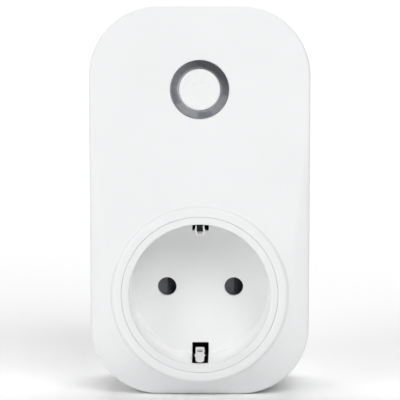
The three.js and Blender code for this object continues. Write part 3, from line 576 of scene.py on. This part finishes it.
looks = {
    "casing_white": plastic("casing_white", WHITE, 0.36),
    "nose_white": plastic("nose_white", shade(WHITE, 0.985), 0.42, grain=0.00002),
    # The recess colour here is painted light, brighter than the casing's white.
    "insert_white": recess_plastic("insert_white", shade(WHITE, 0.985), (0.972, 0.974, 0.976)),
    "button_white": plastic("button_white", shade(WHITE, 1.01), 0.28, grain=0.000006),
    "ring_smoke": smoked_plastic("ring_smoke"),
    "label_grey": plated("label_grey", (0.6, 0.61, 0.62), 0.42, lines=(0.05, 1, 1)),
    "screw_steel": plated("screw_steel", (0.5, 0.5, 0.51), 0.3),
    "pin_nickel": plated("pin_nickel", NICKEL, 0.22, lines=(1, 0.08, 1)),
    "retainer_black": plastic("retainer_black", (0.012, 0.012, 0.014), 0.5, grain=0.00003),
    "sleeve_brass": plated("sleeve_brass", BRASS, 0.3),
    "carrier_cream": plastic("carrier_cream", (0.66, 0.6, 0.48), 0.55, grain=0.00003, mottle=0.04),
    "contact_brass": plated("contact_brass", BRASS, 0.3, lines=(1, 0.1, 1)),
    "shutter_grey": plastic("shutter_grey", (0.125, 0.132, 0.142), 0.45, grain=0.00002, mottle=0.05),
    "spring_steel": plated("spring_steel", (0.45, 0.45, 0.46), 0.25, lines=(0.1, 1, 1)),
    "earth_nickel": plated("earth_nickel", EARTH_NICKEL, 0.58, lines=(1, 0.12, 0.5)),
    # The top clip's look: nickel with painted shade on its tip.
    "earth_tip_shaded": tip_shaded_plating(
        "earth_tip_shaded", EARTH_NICKEL, (0.02, 0.023, 0.027), 0.58, lines=(1, 0.12, 0.5),
    ),
    "bridge_steel": plated("bridge_steel", (0.13, 0.135, 0.145), 0.6, lines=(1, 0.2, 0.2)),
    "strap_copper": plated("strap_copper", COPPER, 0.32, lines=(1, 0.1, 0.3)),
    "board_green": circuit("board_green"),
    "switch_black": plastic("switch_black", (0.014, 0.014, 0.016), 0.4),
    "plunger_ivory": plastic("plunger_ivory", (0.72, 0.68, 0.58), 0.4),
    "led_cream": speckled("led_cream", (0.78, 0.72, 0.38), (0.9, 0.86, 0.6), 2400, 0.25),
    "relay_black": plastic("relay_black", (0.012, 0.012, 0.014), 0.45, grain=0.00002),
    "relay_blue": plastic("relay_blue", (0.025, 0.115, 0.36), 0.4, mottle=0.05),
    "relay_iron": plated("relay_iron", (0.42, 0.42, 0.43), 0.35, lines=(1, 1, 0.2)),
    "coil_copper": banded("coil_copper", (0.2, 0.06, 0.025), COPPER, 2200, "Z", 0.3, 0.8),
    "ferrite_grey": speckled("ferrite_grey", (0.02, 0.02, 0.022), (0.05, 0.05, 0.053)),
    "tape_yellow": banded("tape_yellow", (0.55, 0.38, 0.05), (0.72, 0.52, 0.08), 260, "Z", 0.35),
    "film_blue": plastic("film_blue", (0.03, 0.12, 0.38), 0.35, mottle=0.05),
    "can_black": plastic("can_black", (0.012, 0.015, 0.022), 0.25, grain=0.000004, mottle=0.1),
    "varistor_blue": speckled("varistor_blue", (0.014, 0.05, 0.25), (0.025, 0.08, 0.33), 500, 0.4),
    "fuse_ceramic": speckled("fuse_ceramic", (0.74, 0.71, 0.64), (0.82, 0.79, 0.73), 700, 0.4),
    "shunt_alloy": plated("shunt_alloy", (0.36, 0.24, 0.17), 0.4, lines=(0.1, 1, 1)),
    "chip_black": speckled("chip_black", (0.01, 0.01, 0.011), (0.022, 0.022, 0.024), 1900, 0.55),
    "shield_tin": plated("shield_tin", (0.56, 0.57, 0.58), 0.34),
}

for subpart in frame["record"]["subparts"]:
    node = frame["nodes"][subpart["node"]]
    for used in node.material_slots:
        used.material = looks[subpart["material_slot"]]


# ---------------------------------------------------------------- the casing's outline

def outline_stations(corner_steps=44, end_steps=10, side_steps=36):
    """Stations round the casing's outline: (corner centre x, z from the middle, angle)."""
    flat_x = HALF_WIDTH - CORNER
    flat_z = HALF_HEIGHT - CORNER
    corners = [(1, 1), (-1, 1), (-1, -1), (1, -1)]
    made = []
    for quarter, (sx, sz) in enumerate(corners):
        nx, nz = corners[(quarter + 1) % 4]
        for i in range(corner_steps + 1):
            angle = (quarter + i / corner_steps) * math.pi / 2
            made.append((sx * flat_x, sz * flat_z, angle))
        steps = end_steps if quarter % 2 == 0 else side_steps
        square = (quarter + 1) * math.pi / 2
        for i in range(1, steps):
            t = i / steps
            made.append((lerp(sx, nx, t) * flat_x, lerp(sz, nz, t) * flat_z, square))
    return made


STATIONS = outline_stations()


def outline(station, inset=0.0):
    """The outline's place at a station, moved inwards by inset."""
    x, z, angle = station
    radius = CORNER - inset
    return x + radius * math.cos(angle), z + MIDDLE_Z + radius * math.sin(angle)


def bevel_share(z):
    """How far the side bevel has widened: 0 above its top, 1 at the socket's axis and below."""
    return smoothstep((SKIRT_TOP_Z - z) / SKIRT_TOP_Z)


def drop_at(z):
    """How far behind the flat front its edge lies at this height."""
    side = EDGE + SKIRT_SIDE * bevel_share(z)
    down = z / BOTTOM_Z if z < 0 else 0
    return side + (SKIRT_DROP - side) * down ** 1.5


def flat_edge(station):
    """Where the flat front ends: by the outline at the top, on the collar at the bottom."""
    x, z = outline(station)
    rim_x, rim_z = outline(station, EDGE + 0.1)
    collar = COLLAR + 0.3
    if rim_z >= SKIRT_TOP_Z:
        return rim_x, rim_z
    if z <= 0:
        reach = math.hypot(x, z)
        return x / reach * collar, z / reach * collar
    share = bevel_share(z)
    return math.copysign(lerp(abs(rim_x), collar, share), x), z


def collar_profile(reach):
    """(radius, y) over the collar: out of its bore, over the rounded rim and down to the front."""
    bore_edge = 0.15
    roll, roll_drop = 1.5, 0.7
    roll_y = RIM_Y + roll_drop
    fillet_end = min(COLLAR + 1.5, reach)
    along = [(BORE, TUBE_BACK_Y)]
    along += corner_arc((BORE, RIM_Y + bore_edge), (BORE, RIM_Y), (BORE + bore_edge, RIM_Y), 4)
    along += corner_arc((COLLAR - roll, RIM_Y), (COLLAR - 0.25, RIM_Y), (COLLAR, roll_y), 7)
    foot = (COLLAR + 0.02, roll_y + 0.02)
    along += corner_arc(foot, (COLLAR + 0.2, FACE_Y), (fillet_end, FACE_Y), 6)[1:]
    return along


def bevel_points(start, knee, width):
    """From the flat front's edge down the bevel to the rounding of the casing's own edge."""
    stop = max(1 - EDGE / width, 0.02)
    bend = lerp(1.3, 1.0, smoothstep(-knee[2] / 20))
    steps = 8
    made = []
    for i in range(1, steps + 1):
        t = stop * i / steps
        made.append((
            lerp(start[0], knee[0], t),
            lerp(start[1], knee[1], t ** bend),
            lerp(start[2], knee[2], t),
        ))
    return made


def front_profile(station):
    """A line of points from inside the bore, over the front and the side, and back inside."""
    edge_x, edge_z = outline(station)
    flat_x, flat_z = flat_edge(station)
    reach = math.hypot(flat_x, flat_z)
    ux, uz = flat_x / reach, flat_z / reach
    points = [(r * ux, y, r * uz) for r, y in collar_profile(reach)]

    knee = (edge_x, FACE_Y + drop_at(edge_z) - EDGE, edge_z)
    start = (flat_x, FACE_Y, flat_z)
    points.append(start)
    points += bevel_points(start, knee, math.dist((flat_x, flat_z), (edge_x, edge_z)))
    points += corner_arc(points[-1], knee, (edge_x, knee[1] + EDGE, edge_z), 5)[1:]

    rim_x, rim_z = outline(station, PARTING_EDGE)
    side_end = (edge_x, PARTING_Y - PARTING_EDGE, edge_z)
    points += corner_arc(side_end, (edge_x, PARTING_Y, edge_z), (rim_x, PARTING_Y, rim_z), 3)
    inner_x, inner_z = outline(station, WALL)
    inner_y = FACE_Y + WALL + GAP
    points.append((inner_x, PARTING_Y, inner_z))
    points.append((inner_x, max(knee[1], FACE_Y) + WALL + GAP, inner_z))
    points.append((COLLAR * ux, inner_y, COLLAR * uz))
    points.append((COLLAR * ux, TUBE_BACK_Y, COLLAR * uz))
    return points


def swept(name, lines):
    """A shell whose sections, one at each station of the outline, are closed lines of points."""
    rings = [list(ring) for ring in zip(*lines)]
    points, faces = bridge(rings, closed=True)
    return new_piece(name, points, faces)


def make_front_cover():
    """The front shell with the collar, the ring's well and the pockets for the earth clips."""
    piece = swept("front_shell", [front_profile(station) for station in STATIONS])
    well = RING_OUTER + SEAM
    edge = 0.35
    inside = FACE_Y + WALL + 2
    well_cutter = turned("well_cutter", [
        (0, FACE_Y - 3),
        (well + 0.9, FACE_Y - 3),
        (well + 0.42, FACE_Y - 0.1),
        *corner_arc((well + edge, FACE_Y), (well, FACE_Y), (well, FACE_Y + edge), 4),
        (well, inside),
        (0, inside),
    ], 0, BUTTON_Z, 128)
    pockets = []
    for side in (-1, 1):
        low, high = sorted((side * (BORE - 1), side * POCKET))
        corners = (-SLOT, SLOT_Y, low), (SLOT, TUBE_BACK_Y + 1, high)
        pockets.append(block(f"clip_pocket_{side}", *corners))
    return cut(piece, [well_cutter, *pockets])


def make_rear_cover():
    """The rear shell: a tray with a locating lip, a hole for the nose and pockets in its back."""
    front = PARTING_Y + GAP
    lip_top = PARTING_Y - LIP_HEIGHT
    back_edge = 1.5
    hole = NOSE_RADIUS + GAP
    inside = WALL_Y - WALL - 0.2
    hole_edge = 0.3
    hole_line = corner_arc((hole + hole_edge, WALL_Y), (hole, WALL_Y), (hole, WALL_Y - hole_edge), 3)
    hole_line.append((hole, inside))
    lines = []
    for station in STATIONS:
        x, z = outline(station)
        reach = math.hypot(x, z)
        ux, uz = x / reach, z / reach
        edge = outline(station, PARTING_EDGE)
        rim = outline(station, back_edge)
        lip = outline(station, WALL + GAP)
        inner = outline(station, WALL + GAP + LIP_THICKNESS)
        line = [(inner[0], lip_top, inner[1]), (lip[0], lip_top, lip[1]), (lip[0], front, lip[1])]
        side_start = (x, front + PARTING_EDGE, z)
        line += corner_arc((edge[0], front, edge[1]), (x, front, z), side_start, 3)
        side_end = (x, WALL_Y - back_edge, z)
        line += corner_arc(side_end, (x, WALL_Y, z), (rim[0], WALL_Y, rim[1]), 7)
        line += [(r * ux, y, r * uz) for r, y in hole_line]
        line.append((inner[0], inside, inner[1]))
        lines.append(line)
    piece = swept("rear_shell", lines)
    pockets = [screw_pocket(number) for number in SCREWS]
    pockets.append(label_pocket())
    return cut(piece, pockets)


def screw_pocket(number):
    """The cutter for the pocket that a case screw's head is sunk in."""
    node = f"case_screw_{number}"
    low, high = box_mm(node)
    radius = (high.x - low.x) / 2 + GAP
    edge = 0.25
    floor = WALL_Y - 2.35
    return turned(f"pocket_{number}", [
        (0, WALL_Y + 2),
        (radius + 0.8, WALL_Y + 2),
        (radius + 0.35, WALL_Y + 0.05),
        *corner_arc((radius + edge, WALL_Y), (radius, WALL_Y), (radius, WALL_Y - edge), 3),
        (radius, floor),
        (0, floor),
    ], middle(node).x, middle(node).z, 64)


def label_pocket():
    """The cutter for the shallow pocket that the label lies in."""
    low, high = box_mm("rating_label")
    return rounded_plate(
        "label_pocket", (low.x - GAP, WALL_Y - 0.7, low.z - GAP),
        (high.x + GAP, WALL_Y + 1, high.z + GAP), LABEL_CORNER + GAP,
    )


def plate_ring(low, high, radius, inset, y):
    """A rounded rectangle between two corners, moved inwards by inset, at one y."""
    left, right = low[0] + radius, high[0] - radius
    bottom, top = low[2] + radius, high[2] - radius
    corner = radius - inset
    steps = 8
    made = []
    for quarter, (x, z) in enumerate([(right, top), (left, top), (left, bottom), (right, bottom)]):
        for i in range(steps + 1):
            angle = (quarter + i / steps) * math.pi / 2
            made.append((x + corner * math.cos(angle), y, z + corner * math.sin(angle)))
    return made


def rounded_plate(name, low, high, radius, edge=0.0):
    """A plate in the XZ plane with rounded corners, and rounded edges on its rear face."""
    front_y, back_y = low[1], high[1]
    line = [(0, back_y)]
    if edge:
        line = corner_arc((0, back_y - edge), (0, back_y), (edge, back_y), 3)
    rings = [plate_ring(low, high, radius, inset, y) for inset, y in [(0, front_y), *line]]
    points, faces = bridge(rings, closed=False)
    count = len(rings[0])
    faces.append(list(range(count)))
    faces.append(list(range(len(points) - count, len(points))))
    return new_piece(name, points, faces)


# ---------------------------------------------------------------- socket, ring and button

def make_socket_insert():
    """The recessed cup with a flange behind the collar's tube, two pin holes and two slots."""
    draft = 0.25
    flange_y = TUBE_BACK_Y + GAP
    flange_back_y = flange_y + 2.2
    profile = soften([
        (0, FLOOR_Y, 0),
        (RECESS - draft, FLOOR_Y, 0.12),
        (RECESS, RIM_Y, 0.35),
        (BORE - SEAM, RIM_Y, 0.15),
        (BORE - SEAM, flange_y, 0),
        (COLLAR, flange_y, 0.3),
        (COLLAR, flange_back_y, 0.3),
        (INSERT, flange_back_y, 0),
        (INSERT, FLOOR_BACK_Y, 0.3),
        (0, FLOOR_BACK_Y, 0),
    ])
    piece = turned("socket_cup", profile, sides=192)
    past = FLOOR_BACK_Y + 1
    edge = 0.22
    edge_line = corner_arc(
        (HOLE_RADIUS + edge, FLOOR_Y), (HOLE_RADIUS, FLOOR_Y), (HOLE_RADIUS, FLOOR_Y + edge), 3,
    )
    cutters = []
    for side in (-1, 1):
        cutters.append(turned(f"hole_{side}", [
            (0, FLOOR_Y - 2),
            (HOLE_RADIUS + 0.9, FLOOR_Y - 2),
            (HOLE_RADIUS + 0.3, FLOOR_Y - 0.05),
            *edge_line,
            (HOLE_RADIUS, past),
            (0, past),
        ], side * PIN_X, 0, 96))
        low, high = sorted((side * 16, side * 26))
        cutters.append(block(f"slot_{side}", (-SLOT, SLOT_Y, low), (SLOT, past, high), 0.2))
    return cut(piece, cutters)


def make_light_ring():
    """A ring like a shallow funnel: it falls from its outer lip to the button's edge."""
    lip = FACE_Y + 0.1
    dish = 0.92
    inner = BUTTON + SEAM
    slope = []
    steps = 8
    for i in range(steps + 1):
        t = i / steps
        slope.append((lerp(inner, RING_OUTER - 0.25, t), lerp(lip + dish, lip + 0.06, t)))
    flange_y = ring_high.y - FLANGE
    profile = [
        *slope,
        *corner_arc((RING_OUTER - 0.2, lip + 0.02), (RING_OUTER, lip), (RING_OUTER, lip + 0.3), 4),
        (RING_OUTER, flange_y),
        (ring_high.x, flange_y),
        (ring_high.x, ring_high.y),
        (inner, ring_high.y),
    ]
    return turned("glow_ring", profile, 0, BUTTON_Z, 160)


def make_power_button():
    """A slightly domed cap with a flange behind it and a stem that reaches the switch."""
    top = button_low.y
    flange_y = top + 4.4
    flange_back_y = flange_y + 1.2
    stem = 1.6
    dome = 0.2
    shoulder = (BUTTON, top + 0.75)
    profile = [(0, top)]
    profile += [(r, top + dome * (r / BUTTON) ** 2.2) for r in (1, 2, 3, 4, 4.8)]
    profile += corner_arc((BUTTON - 0.6, top + 0.17), (BUTTON - 0.02, top + 0.22), shoulder, 6)
    profile += [
        (BUTTON, flange_y),
        (button_high.x, flange_y),
        (button_high.x, flange_back_y),
        (stem, flange_back_y),
        (stem, button_high.y),
        (0, button_high.y),
    ]
    return turned("button_cap", profile, 0, BUTTON_Z, 128)


def curve_between(p, q, r, s, t):
    """A value on the smooth curve from q to r, which leaves p behind and heads for s."""
    bend = (2 * p - 5 * q + 4 * r - s) * t * t
    return 0.5 * (2 * q + (r - p) * t + bend + (3 * q - p - 3 * r + s) * t ** 3)


def smooth_path(path, steps):
    """A smooth curve through the points of a path."""
    made = []
    for i in range(len(path) - 1):
        around = path[max(i - 1, 0)], path[i], path[i + 1], path[min(i + 2, len(path) - 1)]
        for k in range(steps):
            made.append(tuple(curve_between(*values, k / steps) for values in zip(*around)))
    made.append(path[-1])
    return made


def clip_width(y):
    """Half a clip's width at y, less towards its rounded tip, and how far its barbs stand out."""
    rounding = 0.7
    barb_height, barb_length = 0.4, 0.25
    ahead = abs(y - CLIP_TIP[0])
    width = CLIP_HALF
    if ahead < rounding:
        width *= math.sqrt(max(1 - (1 - ahead / rounding) ** 2, 0.12))
    return width, barb_height * max(0, 1 - abs(y - CLIP_BARB_Y) / barb_length)


def make_earth_clip(name, side):
    """A bowed strip with a window in front of its crest, two small barbs and a rounded tip."""
    crest_y, crest = CLIP_CREST
    path = smooth_path([
        CLIP_FOOT,
        (CLIP_FOOT[0] - 4.6, CLIP_FOOT[1] - 0.7),
        (crest_y + 4.2, crest + 1.2),
        (crest_y + 1.4, crest + 0.25),
        CLIP_CREST,
        (crest_y - 1.1, crest + 0.25),
        (crest_y - 2.3, crest + 1.1),
        CLIP_TIP,
    ], 10)
    columns = (-1, -0.6, 0, 0.6, 1)
    window_columns = (1, 2)
    across = len(columns)
    points = []
    faces = []
    for y, z in path:
        width, barb = clip_width(y)
        for c in columns:
            reach = width * c + math.copysign(barb, c) * (abs(c) == 1)
            points.append((reach, y, side * z))
    for i in range(len(path) - 1):
        middle_y = (path[i][0] + path[i + 1][0]) / 2
        in_window = CLIP_WINDOW[0] < middle_y < CLIP_WINDOW[1]
        for j in range(across - 1):
            if in_window and j in window_columns:
                continue
            a = i * across + j
            faces.append([a, a + 1, a + 1 + across, a + across])
    piece = new_piece(name, points, faces)
    thick = piece.modifiers.new("thick", "SOLIDIFY")
    thick.thickness = CLIP_THICKNESS * MM
    thick.offset = 0
    soft = piece.modifiers.new("soft", "BEVEL")
    soft.width = 0.09 * MM
    soft.segments = 2
    soft.limit_method = "ANGLE"
    soft.angle_limit = math.radians(40)
    settle(piece)
    return piece


# ---------------------------------------------------------------- the plug

def nose_hole(name, x, z, radius, flare):
    """The cutter for a hole in the nose's front wall, with a rounded mouth."""
    face = nose_high.y
    end = face - 3.5
    return turned(name, [
        (0, face + 2),
        (radius + flare + 0.8, face + 2),
        (radius + flare + 0.05, face + 0.05),
        *corner_arc((radius + flare, face), (radius, face), (radius, face - flare), 3),
        (radius, end),
        (0, end),
    ], x, z, 80)


def make_plug_nose():
    """A cup with a flange inside the casing, holes for the pins and two grooves for earth strips."""
    back = nose_low.y
    face = nose_high.y
    front_wall = 2.5
    flange = NOSE_RADIUS + 1.8
    flange_front = back + 1.2
    profile = soften([
        (0, face - front_wall, 0),
        (NOSE_BORE, face - front_wall, 0.5),
        (NOSE_BORE, back, 0),
        (flange, back, 0.2),
        (flange, flange_front, 0.2),
        (NOSE_RADIUS, flange_front, 0),
        (NOSE_RADIUS, face, 1.0),
        (0, face, 0),
    ], steps=7)
    piece = turned("nose_cup", profile, sides=160)
    cutters = [
        nose_hole("nose_hole_line", -PIN_X, 0, PIN_RADIUS + GAP, 0.12),
        nose_hole("nose_hole_neutral", PIN_X, 0, PIN_RADIUS + GAP, 0.12),
        nose_hole("nose_hole_earth", 0, EARTH_PIN_Z, EARTH_BORE, 0.4),
    ]
    for side in (-1, 1):
        low, high = sorted((side * 17.2, side * 24))
        cutters.append(block(f"groove_{side}", (-3, back - 2, low), (3, face + 2, high), 0.25))
    return cut(piece, cutters)


def make_pin(name, side):
    """A round pin with a rounded tip, a collar that holds it and a thinner tail."""
    tip = pin_high.y
    tail = PIN_RADIUS - 0.4
    tail_y = -8.4
    collar = 3.6
    collar_y = (-4.8, -2.8)
    profile = soften([
        (0, pin_low.y, 0),
        (tail, pin_low.y, 0.2),
        (tail, tail_y, 0),
        (PIN_RADIUS, tail_y + 0.2, 0),
        (PIN_RADIUS, collar_y[0], 0),
        (collar, collar_y[0], 0.2),
        (collar, collar_y[1], 0.2),
        (PIN_RADIUS, collar_y[1], 0),
        (PIN_RADIUS, tip - 0.4, 2.0),
        (0.6, tip, 0.6),
        (0, tip, 0),
    ], steps=8)
    return turned(name, profile, side * PIN_X, 0, 96)


def make_earth_strip(name, node):
    """A flat strip with rounded edges."""
    low, high = box_mm(node)
    return block(name, low, high, 0.22)


def make_sleeve():
    """The tube behind the nose that takes a fixed earth pin, with a flared mouth."""
    low, high = box_mm("plug_earth_sleeve")
    outer = (high.x - low.x) / 2
    profile = soften([
        (EARTH_BORE, low.y, 0),
        (outer, low.y, 0.15),
        (outer, high.y, 0.15),
        (EARTH_BORE, high.y, 0.25),
        (EARTH_BORE, low.y + 1, 0),
    ])
    return turned("earth_sleeve", profile, 0, EARTH_PIN_Z, 72)


def cross_bit(name, x, top, z, wide, tall):
    """One bar of the cutter for a cross recess, narrower at its bottom."""
    bit = block(name, (x - wide, top - 1.1, z - tall), (x + wide, top + 0.8, z + tall), 0.06, 1)
    taper = 0.35
    for v in bit.data.vertices:
        if v.co.y < (top - 0.5) * MM:
            v.co.x = lerp(v.co.x, x * MM, taper)
            v.co.z = lerp(v.co.z, z * MM, taper)
    return bit


def make_screw(name, node):
    """A pan head with a tapered cross recess, on a plain shank with a blunt point."""
    low, high = box_mm(node)
    x, z = middle(node).x, middle(node).z
    head = (high.x - low.x) / 2
    shank = 1.25
    under_head = high.y - 1.7
    profile = soften([
        (0, low.y, 0),
        (0.7, low.y, 0.2),
        (shank, low.y + 1.2, 0.3),
        (shank, under_head, 0),
        (head, under_head, 0.15),
        (head, high.y - 0.5, 0.5),
        (head * 0.7, high.y, 0.6),
        (0, high.y, 0),
    ])
    piece = turned(name, profile, x, z, 64)
    long, short = 1.45, 0.3
    return cut(piece, [
        cross_bit(f"{name}_bit_across", x, high.y, z, long, short),
        cross_bit(f"{name}_bit_up", x, high.y, z, short, long),
    ])


def make_label():
    """A blank label, rounded at its corners."""
    low, high = box_mm("rating_label")
    return rounded_plate("blank_label", low, high, LABEL_CORNER, 0.12)


# ---------------------------------------------------------------- putting the pieces in

finish_piece(make_front_cover(), "casing", "front_cover", "casing_white")
finish_piece(make_rear_cover(), "casing", "rear_cover", "casing_white")
finish_piece(make_plug_nose(), "casing", "plug_nose", "nose_white")
finish_piece(make_socket_insert(), "casing", "socket_insert", "insert_white")
finish_piece(make_light_ring(), "casing", "light_ring", "ring_smoke")
finish_piece(make_power_button(), "power_button", "power_button", "button_white")
finish_piece(make_label(), "casing", "rating_label", "label_grey")
finish_piece(make_sleeve(), "casing", "plug_earth_sleeve", "sleeve_brass")
for number in SCREWS:
    node = f"case_screw_{number}"
    finish_piece(make_screw(f"pan_screw_{number}", node), "casing", node, "screw_steel")
for ending, side in (("line", -1), ("neutral", 1)):
    finish_piece(make_pin(f"pin_{ending}", side), "casing", f"plug_pin_{ending}", "pin_nickel")
# The top clip's tip is painted in shade.
for ending, side, clip_look in (("top", 1, "earth_tip_shaded"), ("bottom", -1, "earth_nickel")):
    strip = f"plug_earth_{ending}"
    finish_piece(make_earth_strip(f"nose_strip_{ending}", strip), "casing", strip, "earth_nickel")
    clip = f"earth_clip_{ending}"
    finish_piece(make_earth_clip(f"bowed_clip_{ending}", side), clip, clip, "earth_nickel", clip_look)


# ---------------------------------------------------------------- floor, light and camera

def make_floor():
    """A pale floor that sweeps up behind the part. Its sizes are in metres."""
    half = 4.0
    level = BOTTOM_Z * MM
    bend = 0.6
    bend_y = 0.9
    wall_height = 3.0
    steps = 16
    line = [(-half, level), (bend_y, level)]
    for i in range(1, steps + 1):
        angle = math.pi / 2 * i / steps
        line.append((bend_y + bend * math.sin(angle), level + bend * (1 - math.cos(angle))))
    line.append((bend_y + bend, level + wall_height))
    points = [(side * half, y, z) for side in (-1, 1) for y, z in line]
    count = len(line)
    faces = [(i, i + 1, count + i + 1, count + i) for i in range(count - 1)]
    mesh = bpy.data.meshes.new("floor")
    mesh.from_pydata(points, [], faces)
    for polygon in mesh.polygons:
        polygon.use_smooth = True
    floor = bpy.data.objects.new("floor", mesh)
    bpy.context.scene.collection.objects.link(floor)
    n = Nodes("floor")
    tints = [(0.3, (0.94, 0.94, 0.94)), (0.7, (0.96, 0.96, 0.96))]
    n.feed("Base Color", n.ramp(n.noise(3, detail=2), tints))
    n.set(Roughness=0.9)
    mesh.materials.append(n.material)


def add_light(name, place, target, size, power):
    """A square lamp at a place in metres, turned to a target."""
    lamp = bpy.data.lights.new(name, "AREA")
    lamp.shape = "SQUARE"
    lamp.size = size
    lamp.energy = power
    made = bpy.data.objects.new(name, lamp)
    made.location = place
    made.rotation_mode = "QUATERNION"
    made.rotation_quaternion = (Vector(target) - Vector(place)).to_track_quat("-Z", "Y")
    bpy.context.scene.collection.objects.link(made)


SUBJECT = (0, -0.03, 0.03)                     # metres, the middle of the front
LAMP_SIZE = 1.2


def aimed(azimuth, height, distance=2.0):
    """A place seen from the subject at these degrees to the right of the front and above it."""
    azimuth, height = math.radians(azimuth), math.radians(height)
    level = distance * math.cos(height)
    return (
        SUBJECT[0] + level * math.sin(azimuth),
        SUBJECT[1] - level * math.cos(azimuth),
        SUBJECT[2] + distance * math.sin(height),
    )


def make_world():
    """A dim white room round the lamps."""
    world = bpy.data.worlds.new("studio")
    world.use_nodes = True
    bpy.context.scene.world = world
    background = world.node_tree.nodes["Background"]
    background.inputs["Color"].default_value = (1, 1, 1, 1)
    background.inputs["Strength"].default_value = 0.04


def make_camera():
    """A long lens in front of the part, a little above it and to the right."""
    place = Vector((7.6, -570, 72.9)) * MM
    target = Vector((0, -50, 25.6)) * MM
    data = bpy.data.cameras.new("camera")
    data.lens = 168.8
    data.sensor_width = 36
    camera = bpy.data.objects.new("camera", data)
    bpy.context.scene.collection.objects.link(camera)
    camera.location = place
    camera.rotation_mode = "QUATERNION"
    camera.rotation_quaternion = (target - place).to_track_quat("-Z", "Y")
    data.clip_start = 0.05
    data.clip_end = 50
    bpy.context.scene.camera = camera


make_floor()
make_world()
add_light("left", aimed(-45, 24), SUBJECT, LAMP_SIZE, 15.9)
add_light("right", aimed(26, 38), SUBJECT, LAMP_SIZE, 21.0)
add_light("backdrop", (0, 0.75, 1.3), (0, 0.8, 0), 1.0, 13)
make_camera()
bpy.context.scene.view_settings.view_transform = "Standard"
